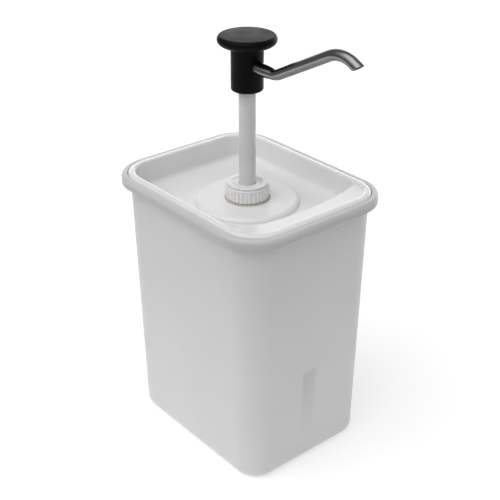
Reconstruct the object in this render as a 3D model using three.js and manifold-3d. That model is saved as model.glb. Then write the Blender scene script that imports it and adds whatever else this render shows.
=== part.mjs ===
// Condiment pump dispenser: a deep plastic tub, a drop-in tray lid and a hand pump with a bent
// steel spout. Millimetres, +Z up. The origin is the centre of the tub's flat base, and the spout
// points along +X, the tub's long direction.
import * as THREE from 'three';
import { mergeVertices } from 'three/addons/utils/BufferGeometryUtils.js';
import Module from 'manifold-3d';

const wasm = await Module();
wasm.setup();

// ---------------------------------------------------------------- driving dimensions

// Clearances
const SEAT_GAP = 0.2; // between faces that rest on each other
const RUNNING_GAP = 0.25; // round a piece that slides or turns
const SEAL_GAP = 0.1; // between a seal's lip and the wall that it wipes
const DROP_IN_GAP = 0.4; // round the lid in the tub's rim

// Tub
const RIM_LENGTH = 165; // over the rim, along X
const RIM_WIDTH = 132.5; // over the rim, along Y
const RIM_CORNER = 30.7; // plan radius of the rim's corners
const TUB_HEIGHT = 204;
const RIM_OVERHANG = 6.6; // how far the rim stands out from the wall
const RIM_DEPTH = 7; // height of the rim's skirt
const RIM_ROLL = 3.8; // radius of the rim's outer top edge
const RIM_WALL = 1.8; // thickness of the rim's skirt
const SEAT_INSET = 4.4; // from the rim's outside to the seat that holds the lid
const SEAT_DEPTH = 2.6; // the seat's depth below the top of the rim
const TUB_WALL = 1.6;
const TUB_FLOOR = 2.2;
const TUB_DRAFT = 0.0254; // how far the wall leans in for each mm downwards
const BASE_CORNER = 17.6; // plan radius of the tub's corners at the base
const BASE_FILLET = 8;

// Lid
const LID_CROWN = 1.15; // how far the lid's bead stands above the tub's rim
const BEAD_WIDTH = 5.4; // from the bead's outside to the recess's edge
const BEAD_ROUND = 1.6;
const LID_WALL = 1.5;
const LID_FLOOR = 2;
const LID_DRAFT = 0.02;
const RECESS_DEPTH = 17.6; // from the top of the bead to the tray's floor
const RECESS_FILLET = 3;
const BOSS_RADIUS = 37.3;
const BOSS_HEIGHT = 3.7;
const BOSS_ROUND = 5.1; // how far the boss's edge rolls in towards its flat top
const BOSS_WALL = 2.2;
const BEAD_EDGE_WIDTH = 1.8; // the bead's inner edge rolls down over this width
const BEAD_EDGE_DROP = 1.1;
const SHELF_DROP = 1.8; // the spout-side shelf's depth below the top of the bead
const SHELF_WIDTH = 13; // at the middle of the shelf
const SHELF_EDGE_RADIUS = 200; // plan radius of the shelf's bowed inner edge

// Pump barrel, collar and seals
const BORE_RADIUS = 11.5;
const BARREL_WALL = 1.6;
const FLANGE_WIDTH = 5.4;
const FLANGE_THICKNESS = 2.1;
const GASKET_THICKNESS = 0.6;
const GASKET_LAP = 1.1; // how far the visible gasket stands out past the collar
const NUT_WALL = 1.75; // behind the grip ribs
const NUT_HEIGHT = 9.8;
const NUT_BAND = 1.7; // plain band above the ribs
const NUT_ROOF = 1.4;
const NUT_CHAMFER = 0.8;
const RIB_COUNT = 32;
const RIB_DEPTH = 0.6;
const CAP_SETBACK = 1.2; // from the tips of the nut's ribs to the cap's edge
const CAP_THICKNESS = 1.3;
const CAP_CHAMFER = 0.4;
const CAP_HUB_DEPTH = 14; // how far the cap's guide hub reaches into the barrel
const WIPER_HEIGHT = 2.7;
const WIPER_WIDTH = 2.6;
const WIPER_LIP_ROOT = 0.9; // from the lip back to the wiper's solid ring
const WIPER_LIP_HEIGHT = 1.4;

// Plunger
const STEM_RADIUS = 6;
const STEM_BORE = 4;
const STROKE = 65;
const HEAD_STOP_GAP = 3.2; // left between the head and the cap when the head is pressed down
const PISTON_LENGTH = 24;
const PISTON_GAP = 0.3; // round the piston, and between it and the hub at the top of its stroke
const PISTON_CHAMFER = 0.6;
const PISTON_SOCKET = 7.1;
const PISTON_SEAL_HEIGHT = 3;
const PISTON_SEAL_WIDTH = 1.9;
const LOWER_SEAL_RISE = 1.8; // from the piston's bottom to the lower seal
const UPPER_SEAL_DROP = 2.1; // from the piston's top to the upper seal
const SEAL_NOTCH_DEPTH = 1.3;
const OUTLET_BALL_RADIUS = 4;
const OUTLET_SEAT_RADIUS = 2.6;
const OUTLET_SEAT_DEPTH = 3.3; // thickness of the piston's bottom wall
const BALL_LIFT = 3;
const BALL_STOP_GAP = 0.6; // left above a fully lifted ball
const BALL_CHAMBER_GAP = 1.2; // round the outlet ball
const STOP_PIN_RADIUS = 0.75;

// Foot valve, spring and dip tube
const CUP_WALL = 1.9;
const CUP_HEIGHT = 13;
const CUP_FLOOR = 2.5;
const CUP_CHAMFER = 1.2;
const NOZZLE_LENGTH = 14.5;
const NOZZLE_RADIUS = 5;
const NOZZLE_TIP_RADIUS = 4.2;
const NOZZLE_TAPER = 2; // height of the narrowing at the nozzle's tip
const INLET_SEAT_RADIUS = 3.4;
const INLET_BALL_RADIUS = 5.5;
const CAGE_RING_WIDTH = 2.3;
const CAGE_RING_HEIGHT = 2.4;
const CAGE_BAR_WIDTH = 2;
const CAGE_BAR_HEIGHT = 2;
const CAGE_LEG_WIDTH = 4;
const CAGE_LEGS = 3;
const SPRING_WIRE_RADIUS = 0.65;
const SPRING_GAP = 1.45; // between the spring and the barrel
const SPRING_COILS = 8;
const SPRING_CLOSED_LENGTH = 13.2; // room left for the spring at the bottom of the stroke
const SPRING_END_RISE = 2.2; // pitch of the closed end turns, in wire radii
const DIP_TUBE_WALL = 1.4;
const DIP_TUBE_LAP = 12; // how far the tube is pushed up the nozzle
const DIP_TUBE_STANDOFF = 4.8; // from the tub's floor to the tube's mouth
const DIP_TUBE_SLANT = 35; // the mouth's plane above the horizontal, in degrees

// Head and spout
const HEAD_RADIUS = 11.2;
const HEAD_HEIGHT = 30.4; // the straight part, up to the knob
const HEAD_EDGE_ROUND = 1.3;
const HEAD_SOCKET = 11.5;
const KNOB_RADIUS = 20.3;
const KNOB_HEIGHT = 8.1;
const KNOB_FULLNESS = 2.33; // of the underside's curve, where 2 would be an ellipse
const KNOB_TOP_HEIGHT = 3.3; // from the knob's widest part to its top
const KNOB_TOP_EDGE = 2.2; // width of the top's rounded edge
const KNOB_CROWN = 0.3; // how far the top's middle stands above that edge
const ORING_SECTION = 0.9; // radius of an O-ring's section
const STEM_ORING_RISE = 5.4; // from the head's bottom to the O-ring round the stem
const SPOUT_ORING_X = 8.2;
const SPOUT_RISE = 17.7; // from the head's bottom to the spout's axis
const SPOUT_RADIUS = 3.9;
const SPOUT_WALL = 0.6;
const SPOUT_ROOT_RADIUS = 4.5; // the swaged end that is pushed into the head
const SPOUT_ROOT_END = 17; // where the swage starts to narrow, from the pump's axis
const SPOUT_SWAGE = 12; // length of the narrowing
const SPOUT_START = 3.2; // the tube's inner end
const SPOUT_END_GAP = 0.4; // between that end and the bottom of its socket
const SPOUT_LOW_BEND = 29.7; // distance of the first bend from the pump's axis
const SPOUT_ARM_REACH = 58.8; // along X from the first bend to the second
const SPOUT_ARM_RISE = 30.4;
const SPOUT_TIP_REACH = 14.6; // along X from the second bend to the outlet
const SPOUT_TIP_DROP = 7.1;
const LOW_BEND_RADIUS = 9;
const HIGH_BEND_RADIUS = 24;
const OUTLET_CUT_ANGLE = 35; // the outlet's plane above the horizontal, in degrees

// Fineness of the faceted surfaces
const ROUND_SIDES = 36;
const SMALL_SIDES = 24;
const TUBE_SIDES = 18;
const WIRE_SIDES = 6;
const SHELF_EDGE_SIDES = 160;
const CORNER_STEPS = 7;
const BEND_STEPS = 6;

const OVERCUT = 1; // how far a cutter runs past what it cuts
const CUTTER_SIZE = 60; // size of the blocks that cut the slanted mouths

// ---------------------------------------------------------------- heights worked out from them

const seatZ = TUB_HEIGHT - SEAT_DEPTH;
const lidTopZ = TUB_HEIGHT + LID_CROWN;
const trayZ = lidTopZ - RECESS_DEPTH;
const trayUndersideZ = trayZ - LID_FLOOR;
const bossZ = trayZ + BOSS_HEIGHT;
const bossUndersideZ = bossZ - BOSS_WALL;
const shelfZ = lidTopZ - SHELF_DROP;

const barrelRadius = BORE_RADIUS + BARREL_WALL;
const nutRadius = barrelRadius + RUNNING_GAP + NUT_WALL + RIB_DEPTH; // over the ribs
const nutBandRadius = nutRadius - RIB_DEPTH / 2;
const capRadius = nutRadius - CAP_SETBACK;
const nutBottomZ = bossZ + GASKET_THICKNESS + 2 * SEAT_GAP;
const nutTopZ = nutBottomZ + NUT_HEIGHT;
const barrelTopZ = nutTopZ - NUT_ROOF - SEAT_GAP;
const inletBallRise = ballHeight(INLET_BALL_RADIUS, INLET_SEAT_RADIUS);
const cageBarRise = inletBallRise + INLET_BALL_RADIUS + BALL_LIFT + BALL_STOP_GAP;
const cageHeight = cageBarRise + CAGE_RING_HEIGHT - GASKET_THICKNESS - 2 * SEAT_GAP;
const hubToPiston = CAP_HUB_DEPTH + PISTON_GAP + PISTON_LENGTH;
const barrelLength = hubToPiston + STROKE + SPRING_CLOSED_LENGTH + cageHeight;
const barrelBottomZ = barrelTopZ - barrelLength;
const capTopZ = nutTopZ + SEAT_GAP + CAP_THICKNESS;
const hubBottomZ = barrelTopZ - CAP_HUB_DEPTH;
const flangeTopZ = bossUndersideZ - GASKET_THICKNESS - 2 * SEAT_GAP;

const headBottomZ = capTopZ + STROKE + HEAD_STOP_GAP;
const stemTopZ = headBottomZ + HEAD_SOCKET - SEAT_GAP;
const pistonTopZ = hubBottomZ - PISTON_GAP;
const pistonBottomZ = pistonTopZ - PISTON_LENGTH;
const pistonRadius = BORE_RADIUS - PISTON_GAP;
const stemBottomZ = pistonTopZ - PISTON_SOCKET + SEAT_GAP;
const outletSeatZ = pistonBottomZ + OUTLET_SEAT_DEPTH;
const outletBallZ = ballHeight(OUTLET_BALL_RADIUS, OUTLET_SEAT_RADIUS) + outletSeatZ;
const stopPinZ = outletBallZ + OUTLET_BALL_RADIUS + BALL_LIFT + BALL_STOP_GAP + STOP_PIN_RADIUS;
const ballChamberRadius = OUTLET_BALL_RADIUS + BALL_CHAMBER_GAP;
const lowerSealZ = pistonBottomZ + LOWER_SEAL_RISE;
const upperSealZ = pistonTopZ - UPPER_SEAL_DROP - PISTON_SEAL_HEIGHT;
const sealGrooveRadius = pistonRadius - PISTON_SEAL_WIDTH;

const cupFloorZ = barrelBottomZ - GASKET_THICKNESS - 2 * SEAT_GAP;
const cupRadius = barrelRadius + SEAT_GAP + CUP_WALL;
const inletBallZ = cupFloorZ + inletBallRise;
const cageBarZ = cupFloorZ + cageBarRise;
const cageTopZ = cageBarZ + CAGE_RING_HEIGHT;
const cageRadius = BORE_RADIUS - SEAT_GAP;
const springRadius = BORE_RADIUS - SPRING_GAP - SPRING_WIRE_RADIUS; // to the middle of the wire
const springBottomZ = cageTopZ + SEAT_GAP;
const springTopZ = pistonBottomZ - SEAT_GAP;
const nozzleBottomZ = cupFloorZ - CUP_FLOOR - NOZZLE_LENGTH;
const dipTubeBottomZ = TUB_FLOOR + DIP_TUBE_STANDOFF;
const dipTubeBore = NOZZLE_RADIUS + SEAT_GAP;

const spoutZ = headBottomZ + SPOUT_RISE;
const headSocketRadius = STEM_RADIUS + SEAT_GAP;
const spoutSocketRadius = SPOUT_ROOT_RADIUS + SEAT_GAP;
const stemOringZ = headBottomZ + STEM_ORING_RISE;

/** Height of a ball's centre above the round edge that it rests on, with a hair of clearance. */
function ballHeight(ballRadius, seatRadius) {
  return Math.sqrt(ballRadius ** 2 - seatRadius ** 2) + SEAL_GAP;
}

// ---------------------------------------------------------------- solids

/** Turns a closed three.js geometry into a solid whose faces point out. */
function solid(geometry) {
  const bare = geometry.clone();
  bare.deleteAttribute('normal');
  bare.deleteAttribute('uv');
  const welded = mergeVertices(bare, 1e-4);
  const points = welded.getAttribute('position').array;
  const triangles = [];
  for (let i = 0; i < welded.index.count; i += 3) {
    const [a, b, c] = [0, 1, 2].map((k) => welded.index.getX(i + k));
    if (a !== b && b !== c && c !== a) {
      triangles.push(a, b, c);
    }
  }
  if (signedVolume(points, triangles) < 0) {
    triangles.reverse();
  }
  return new wasm.Manifold(new wasm.Mesh({
    numProp: 3,
    vertProperties: Float32Array.from(points),
    triVerts: Uint32Array.from(triangles),
  }));
}

/** Six times the volume that the triangles enclose, negative when they face inwards. */
function signedVolume(points, triangles) {
  const corner = (i) => new THREE.Vector3().fromArray(points, 3 * triangles[i]);
  let volume = 0;
  for (let i = 0; i < triangles.length; i += 3) {
    volume += corner(i).dot(corner(i + 1).cross(corner(i + 2)));
  }
  return volume;
}

/** Skins a row of outlines that all have the same number of points, and caps both ends. */
function loft(outlines) {
  const count = outlines[0].length;
  const vertices = outlines.flat();
  const triangles = [];
  for (let i = 0; i + 1 < outlines.length; i += 1) {
    for (let j = 0; j < count; j += 1) {
      const next = (j + 1) % count;
      const [a, b] = [i * count + j, i * count + next];
      triangles.push(a, b, a + count, b, b + count, a + count);
    }
  }
  for (const [ring, turn] of [[0, -1], [outlines.length - 1, 1]]) {
    const centre = new THREE.Vector3();
    outlines[ring].forEach((point) => centre.addScaledVector(point, 1 / count));
    vertices.push(centre);
    for (let j = 0; j < count; j += 1) {
      const edge = [ring * count + j, ring * count + (j + 1) % count];
      triangles.push(...(turn > 0 ? edge : edge.reverse()), vertices.length - 1);
    }
  }
  const geometry = new THREE.BufferGeometry().setFromPoints(vertices);
  geometry.setIndex(triangles);
  return solid(geometry);
}

/** A turned solid from [radius, z] points that start and end on the axis or close on themselves. */
function turned(profile, sides = ROUND_SIDES) {
  const points = profile.map(([radius, z]) => new THREE.Vector2(radius, z));
  return solid(new THREE.LatheGeometry(points, sides).rotateX(Math.PI / 2));
}

/** A tube's wall, a washer or any other ring of square section. */
function ring(innerRadius, outerRadius, bottomZ, topZ, sides = ROUND_SIDES) {
  return turned([
    [innerRadius, bottomZ],
    [outerRadius, bottomZ],
    [outerRadius, topZ],
    [innerRadius, topZ],
    [innerRadius, bottomZ],
  ], sides);
}

function disc(radius, bottomZ, topZ, sides = ROUND_SIDES) {
  return turned([[0, bottomZ], [radius, bottomZ], [radius, topZ], [0, topZ]], sides);
}

/** An O-ring about the Z axis, its section centred at the given radius and height. */
function oring(radius, z, sides = SMALL_SIDES) {
  const section = arc(radius, z, ORING_SECTION, ORING_SECTION, 0, 360, 8);
  section[section.length - 1] = section[0];
  return turned(section, sides);
}

/** Radius of the groove that holds an O-ring round a piece of the given radius. */
function oringGrooveRadius(pieceRadius) {
  return pieceRadius + 2 * ORING_SECTION + 2 * SEAL_GAP;
}

function box(sizeX, sizeY, sizeZ, x, y, z) {
  return solid(new THREE.BoxGeometry(sizeX, sizeY, sizeZ).translate(x, y, z));
}

/** [radius, z] points along an ellipse's arc, with the angles in degrees from the radius axis. */
function arc(centreR, centreZ, radiusR, radiusZ, fromDegrees, toDegrees, steps) {
  return Array.from({ length: steps + 1 }, (_, i) => {
    const angle = THREE.MathUtils.degToRad(fromDegrees + (toDegrees - fromDegrees) * i / steps);
    return [centreR + radiusR * Math.cos(angle), centreZ + radiusZ * Math.sin(angle)];
  });
}

/** A rounded rectangle at height z, the given inset inside the rim's outside. */
function rimOutline(inset, z, corner = RIM_CORNER - inset) {
  const [halfX, halfY] = [RIM_LENGTH / 2 - inset, RIM_WIDTH / 2 - inset];
  const points = [];
  for (const [signX, signY, start] of [[1, 1, 0], [-1, 1, 90], [-1, -1, 180], [1, -1, 270]]) {
    for (let i = 0; i <= CORNER_STEPS; i += 1) {
      const angle = THREE.MathUtils.degToRad(start + 90 * i / CORNER_STEPS);
      points.push(new THREE.Vector3(
        signX * (halfX - corner) + corner * Math.cos(angle),
        signY * (halfY - corner) + corner * Math.sin(angle),
        z,
      ));
    }
  }
  return points;
}

/** A round bar along a path of points, with its radius given for each point. */
function bar(path, radiusAt, sidewaysAt, sides) {
  const outlines = path.map((point, i) => {
    const ahead = path[Math.min(i + 1, path.length - 1)];
    const behind = path[Math.max(i - 1, 0)];
    const along = ahead.clone().sub(behind).normalize();
    const sideways = sidewaysAt(i).clone().projectOnPlane(along).normalize();
    const third = along.clone().cross(sideways);
    return Array.from({ length: sides }, (_, j) => {
      const angle = 2 * Math.PI * j / sides;
      return point.clone()
        .addScaledVector(sideways, radiusAt(i) * Math.cos(angle))
        .addScaledVector(third, radiusAt(i) * Math.sin(angle));
    });
  });
  return loft(outlines);
}

/** Points along straight runs in the XZ plane, joined by round bends. */
function bentPath(corners, bendRadii, stepsPerBend) {
  const points = [corners[0]];
  bendRadii.forEach((bendRadius, i) => {
    const [before, corner, after] = corners.slice(i, i + 3);
    const back = before.clone().sub(corner).normalize();
    const onward = after.clone().sub(corner).normalize();
    const halfAngle = back.angleTo(onward) / 2;
    const middle = back.clone().add(onward).normalize();
    const centre = corner.clone().addScaledVector(middle, bendRadius / Math.sin(halfAngle));
    const start = corner.clone().addScaledVector(back, bendRadius / Math.tan(halfAngle)).sub(centre);
    const axis = new THREE.Vector3().crossVectors(back, onward).normalize();
    for (let k = 0; k <= stepsPerBend; k += 1) {
      const turn = -(Math.PI - 2 * halfAngle) * k / stepsPerBend;
      points.push(start.clone().applyAxisAngle(axis, turn).add(centre));
    }
  });
  points.push(corners[corners.length - 1]);
  return points;
}

// ---------------------------------------------------------------- tub and lid

/** How far the tub's outer wall stands inside the rim at a height. */
function wallInset(z) {
  return RIM_OVERHANG + TUB_DRAFT * (TUB_HEIGHT - RIM_DEPTH - z);
}

/** Plan radius of the tub's outer corners, which tighten towards the base. */
function wallCorner(z) {
  const topCorner = RIM_CORNER - RIM_OVERHANG;
  return THREE.MathUtils.lerp(BASE_CORNER, topCorner, z / (TUB_HEIGHT - RIM_DEPTH));
}

/** Outlines that round the tub's bottom edge, from its flat base up to the wall. */
function baseOutlines(thickness, bottomZ, fillet) {
  return arc(0, 0, fillet, fillet, -90, 0, 6).map(([out, up]) => {
    const z = bottomZ + fillet + up;
    const shift = fillet - out;
    return rimOutline(wallInset(z) + thickness + shift, z, wallCorner(z) - thickness - shift);
  });
}

function makeContainer() {
  const skirtBottomZ = TUB_HEIGHT - RIM_DEPTH;
  const rimUndersideZ = seatZ - RIM_WALL;
  const innerFillet = BASE_FILLET - TUB_WALL;
  const roll = arc(RIM_ROLL, TUB_HEIGHT - RIM_ROLL, RIM_ROLL, RIM_ROLL, 180, 90, 5);
  return loft([
    ...baseOutlines(0, 0, BASE_FILLET),
    rimOutline(RIM_OVERHANG, rimUndersideZ),
    rimOutline(RIM_WALL, rimUndersideZ),
    rimOutline(RIM_WALL, skirtBottomZ),
    rimOutline(0, skirtBottomZ),
    ...roll.map(([inset, z]) => rimOutline(inset, z)),
    rimOutline(SEAT_INSET, TUB_HEIGHT),
    rimOutline(SEAT_INSET, seatZ),
    rimOutline(RIM_OVERHANG + TUB_WALL, seatZ),
    ...baseOutlines(TUB_WALL, TUB_FLOOR, innerFillet).reverse(),
  ]);
}

const beadInset = SEAT_INSET + DROP_IN_GAP;
const recessInset = beadInset + BEAD_WIDTH;

/** How far the recess's wall stands inside the rim at a height. */
function recessWallInset(z) {
  return recessInset + LID_DRAFT * (lidTopZ - z);
}

/** The lid without its boss and shelf: a bead round the edge and a tray hung inside it. */
function makeTray() {
  const beadUndersideZ = seatZ + SEAT_GAP;
  const outerFillet = RECESS_FILLET + LID_WALL;
  const round = (thickness, floorZ, fillet) => arc(0, 0, fillet, fillet, -90, 0, 4).map(([out, up]) => {
    const z = floorZ + fillet + up;
    return rimOutline(recessWallInset(z) - thickness + fillet - out, z);
  });
  const outerEdge = arc(beadInset + BEAD_ROUND, lidTopZ - BEAD_ROUND, BEAD_ROUND, BEAD_ROUND, 180, 90, 4);
  const [edgeInset, edgeZ] = [recessInset - BEAD_EDGE_WIDTH, lidTopZ - BEAD_EDGE_DROP];
  const innerEdge = arc(edgeInset, edgeZ, BEAD_EDGE_WIDTH, BEAD_EDGE_DROP, 90, 0, 3);
  return loft([
    ...round(LID_WALL, trayUndersideZ, outerFillet),
    rimOutline(recessInset - LID_WALL, beadUndersideZ),
    rimOutline(beadInset, beadUndersideZ),
    ...outerEdge.map(([inset, z]) => rimOutline(inset, z)),
    ...innerEdge.map(([inset, z]) => rimOutline(inset, z)),
    ...round(0, trayZ, RECESS_FILLET).reverse(),
  ]);
}

/** The part of the tray's plan that lies beyond the shelf's bowed edge, as a block. */
function shelfBlock(inset, edgeShift, bottomZ, topZ) {
  const edgeX = RIM_LENGTH / 2 - recessInset - SHELF_WIDTH;
  const bow = solid(new THREE.CylinderGeometry(
    SHELF_EDGE_RADIUS + edgeShift,
    SHELF_EDGE_RADIUS + edgeShift,
    topZ - bottomZ + 2 * OVERCUT,
    SHELF_EDGE_SIDES,
  ).rotateX(Math.PI / 2).translate(edgeX - SHELF_EDGE_RADIUS, 0, (bottomZ + topZ) / 2));
  return loft([rimOutline(inset, bottomZ), rimOutline(inset, topZ)]).subtract(bow);
}

function makeLid() {
  const shelf = shelfBlock(recessInset, 0, trayZ - OVERCUT, shelfZ);
  const pocketInset = recessWallInset(trayUndersideZ) + LID_WALL;
  const pocket = shelfBlock(pocketInset, LID_WALL, trayUndersideZ - OVERCUT, shelfZ - LID_WALL);
  const boss = turned([
    [0, trayZ - OVERCUT],
    [BOSS_RADIUS, trayZ - OVERCUT],
    ...arc(BOSS_RADIUS - BOSS_ROUND, trayZ, BOSS_ROUND, BOSS_HEIGHT, 0, 90, 6),
    [0, bossZ],
  ]);
  const hollow = disc(BOSS_RADIUS - BOSS_ROUND, trayUndersideZ - OVERCUT, bossUndersideZ);
  const neckHole = disc(barrelRadius + DROP_IN_GAP, trayUndersideZ - OVERCUT, bossZ + OVERCUT);
  return makeTray().add(shelf).add(boss).subtract(pocket).subtract(hollow).subtract(neckHole);
}

// ---------------------------------------------------------------- collar and barrel

function makeBaseGasket() {
  const bottomZ = bossZ + SEAT_GAP;
  return ring(barrelRadius + SEAT_GAP, nutRadius + GASKET_LAP, bottomZ, bottomZ + GASKET_THICKNESS);
}

function makeFlangeGasket() {
  const bottomZ = flangeTopZ + SEAT_GAP;
  const outerRadius = barrelRadius + FLANGE_WIDTH - SEAT_GAP;
  return ring(barrelRadius + SEAT_GAP, outerRadius, bottomZ, bottomZ + GASKET_THICKNESS);
}

/** The screw collar: a ribbed skirt, a plain band above it and a flat roof with a hole. */
function makeCollarNut() {
  const steps = [[0, 0], [0.2, 1], [0.5, 1], [0.7, 0]];
  const corners = Array.from({ length: RIB_COUNT }, (_, i) => steps.map(([share, height]) => {
    const angle = 2 * Math.PI * (i + share) / RIB_COUNT;
    const radius = nutRadius - RIB_DEPTH * (1 - height);
    return new THREE.Vector2(radius * Math.cos(angle), radius * Math.sin(angle));
  })).flat();
  const outline = new THREE.Shape(corners);
  const ribsHeight = NUT_HEIGHT - NUT_BAND;
  const ribs = solid(new THREE.ExtrudeGeometry(outline, { depth: ribsHeight, bevelEnabled: false })
    .translate(0, 0, nutBottomZ));
  const bandZ = nutBottomZ + ribsHeight;
  const band = turned([
    [0, bandZ - OVERCUT],
    [nutRadius - RIB_DEPTH, bandZ - OVERCUT],
    [nutBandRadius, bandZ],
    [nutBandRadius, nutTopZ - NUT_CHAMFER],
    [nutBandRadius - NUT_CHAMFER, nutTopZ],
    [0, nutTopZ],
  ]);
  const thread = disc(barrelRadius + RUNNING_GAP, nutBottomZ - OVERCUT, nutTopZ - NUT_ROOF);
  const roofHole = disc(BORE_RADIUS + SEAT_GAP, nutBottomZ, nutTopZ + OVERCUT);
  return ribs.add(band).subtract(thread).subtract(roofHole);
}

/** The cap on the collar: a disc with a hub that guides the stem inside the barrel. */
function makeCollarCap() {
  const hubRadius = BORE_RADIUS - SEAT_GAP;
  const boreRadius = STEM_RADIUS + RUNNING_GAP;
  const wiperSeat = boreRadius + WIPER_WIDTH;
  const discZ = nutTopZ + SEAT_GAP;
  const wiperTopZ = hubBottomZ + WIPER_HEIGHT + SEAT_GAP;
  return turned([
    [wiperSeat, hubBottomZ],
    [hubRadius, hubBottomZ],
    [hubRadius, discZ],
    [capRadius, discZ],
    [capRadius, capTopZ - CAP_CHAMFER],
    [capRadius - CAP_CHAMFER, capTopZ],
    [boreRadius + CAP_CHAMFER, capTopZ],
    [boreRadius, capTopZ - CAP_CHAMFER],
    [boreRadius, wiperTopZ],
    [wiperSeat, wiperTopZ],
    [wiperSeat, hubBottomZ],
  ]);
}

/** The lip seal round the stem, held in the bottom of the cap's hub. */
function makeStemWiper() {
  const lip = STEM_RADIUS + SEAL_GAP;
  const back = STEM_RADIUS + RUNNING_GAP + WIPER_WIDTH - SEAT_GAP;
  const topZ = hubBottomZ + WIPER_HEIGHT;
  const root = lip + WIPER_LIP_ROOT;
  return turned([
    [root, hubBottomZ],
    [back, hubBottomZ],
    [back, topZ],
    [root, topZ],
    [lip, topZ - WIPER_LIP_HEIGHT / 2],
    [root, topZ - WIPER_LIP_HEIGHT],
    [root, hubBottomZ],
  ]);
}

function makePumpBarrel() {
  const flangeRadius = barrelRadius + FLANGE_WIDTH;
  return turned([
    [BORE_RADIUS, barrelBottomZ],
    [barrelRadius, barrelBottomZ],
    [barrelRadius, flangeTopZ - FLANGE_THICKNESS],
    [flangeRadius, flangeTopZ - FLANGE_THICKNESS],
    [flangeRadius, flangeTopZ],
    [barrelRadius, flangeTopZ],
    [barrelRadius, barrelTopZ],
    [BORE_RADIUS, barrelTopZ],
    [BORE_RADIUS, barrelBottomZ],
  ]);
}

// ---------------------------------------------------------------- foot valve and dip tube

/** The screw-on cup under the barrel, with the inlet's seat and the dip tube's nozzle. */
function makeFootValve() {
  const undersideZ = cupFloorZ - CUP_FLOOR;
  const innerRadius = barrelRadius + SEAT_GAP;
  return turned([
    [INLET_SEAT_RADIUS, nozzleBottomZ],
    [NOZZLE_TIP_RADIUS, nozzleBottomZ],
    [NOZZLE_RADIUS, nozzleBottomZ + NOZZLE_TAPER],
    [NOZZLE_RADIUS, undersideZ],
    [cupRadius - CUP_CHAMFER, undersideZ],
    [cupRadius, undersideZ + CUP_CHAMFER],
    [cupRadius, undersideZ + CUP_HEIGHT],
    [innerRadius, undersideZ + CUP_HEIGHT],
    [innerRadius, cupFloorZ],
    [INLET_SEAT_RADIUS, cupFloorZ],
    [INLET_SEAT_RADIUS, nozzleBottomZ],
  ]);
}

function makeFootWasher() {
  const bottomZ = cupFloorZ + SEAT_GAP;
  return ring(cageRadius - CAGE_RING_WIDTH, barrelRadius, bottomZ, bottomZ + GASKET_THICKNESS);
}

/** The cage over the inlet ball: a ring for the spring, two cross bars and its legs. */
function makeInletCage() {
  const innerRadius = cageRadius - CAGE_RING_WIDTH;
  const legBottomZ = barrelBottomZ + SEAT_GAP;
  let cage = ring(innerRadius, cageRadius, cageBarZ, cageTopZ);
  const length = innerRadius + cageRadius; // a bar ends in the middle of the ring's wall
  const barMiddleZ = cageBarZ + CAGE_BAR_HEIGHT / 2;
  cage = cage.add(box(length, CAGE_BAR_WIDTH, CAGE_BAR_HEIGHT, 0, 0, barMiddleZ));
  cage = cage.add(box(CAGE_BAR_WIDTH, length, CAGE_BAR_HEIGHT, 0, 0, barMiddleZ));
  const legs = ring(innerRadius, cageRadius, legBottomZ, cageBarZ + CAGE_RING_HEIGHT / 2);
  for (let i = 0; i < CAGE_LEGS; i += 1) {
    const slice = new THREE.BoxGeometry(cageRadius * 2, CAGE_LEG_WIDTH, CUTTER_SIZE)
      .translate(cageRadius, 0, 0)
      .rotateZ(2 * Math.PI * i / CAGE_LEGS)
      .translate(0, 0, cageBarZ);
    cage = cage.add(legs.intersect(solid(slice)));
  }
  return cage;
}

/** The dip tube, pushed up the nozzle, with its mouth cut at a slant. */
function makeDipTube() {
  const outerRadius = dipTubeBore + DIP_TUBE_WALL;
  const tube = ring(dipTubeBore, outerRadius, dipTubeBottomZ, nozzleBottomZ + DIP_TUBE_LAP, SMALL_SIDES);
  const slant = THREE.MathUtils.degToRad(DIP_TUBE_SLANT);
  const cutter = new THREE.BoxGeometry(CUTTER_SIZE, CUTTER_SIZE, CUTTER_SIZE)
    .translate(0, 0, -CUTTER_SIZE / 2)
    .rotateY(slant)
    .translate(0, 0, dipTubeBottomZ + outerRadius * Math.tan(slant));
  return tube.subtract(solid(cutter));
}

/** A ball that rests on a seat. */
function makeBall(radius, z) {
  return solid(new THREE.SphereGeometry(radius, 18, 12).rotateX(Math.PI / 2).translate(0, 0, z));
}

/** The return spring, a helix with its last turn at each end wound flat. */
function makeReturnSpring() {
  const stepsPerCoil = 16;
  const steps = SPRING_COILS * stepsPerCoil;
  const lowZ = springBottomZ + SPRING_WIRE_RADIUS;
  const highZ = springTopZ - SPRING_WIRE_RADIUS;
  const closed = SPRING_END_RISE * SPRING_WIRE_RADIUS;
  const riseAt = (turns) => {
    const open = THREE.MathUtils.clamp((turns - 1) / (SPRING_COILS - 2), 0, 1);
    const ends = Math.min(turns, 1) + Math.max(turns - SPRING_COILS + 1, 0);
    return lowZ + closed * ends + (highZ - lowZ - 2 * closed) * open;
  };
  const radial = (i) => {
    const angle = 2 * Math.PI * i / stepsPerCoil;
    return new THREE.Vector3(Math.cos(angle), Math.sin(angle), 0);
  };
  const path = Array.from({ length: steps + 1 }, (_, i) => {
    return radial(i).multiplyScalar(springRadius).setZ(riseAt(i / stepsPerCoil));
  });
  return bar(path, () => SPRING_WIRE_RADIUS, radial, WIRE_SIDES);
}

// ---------------------------------------------------------------- plunger

function makeStem() {
  return ring(STEM_BORE, STEM_RADIUS, stemBottomZ, stemTopZ);
}

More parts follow.
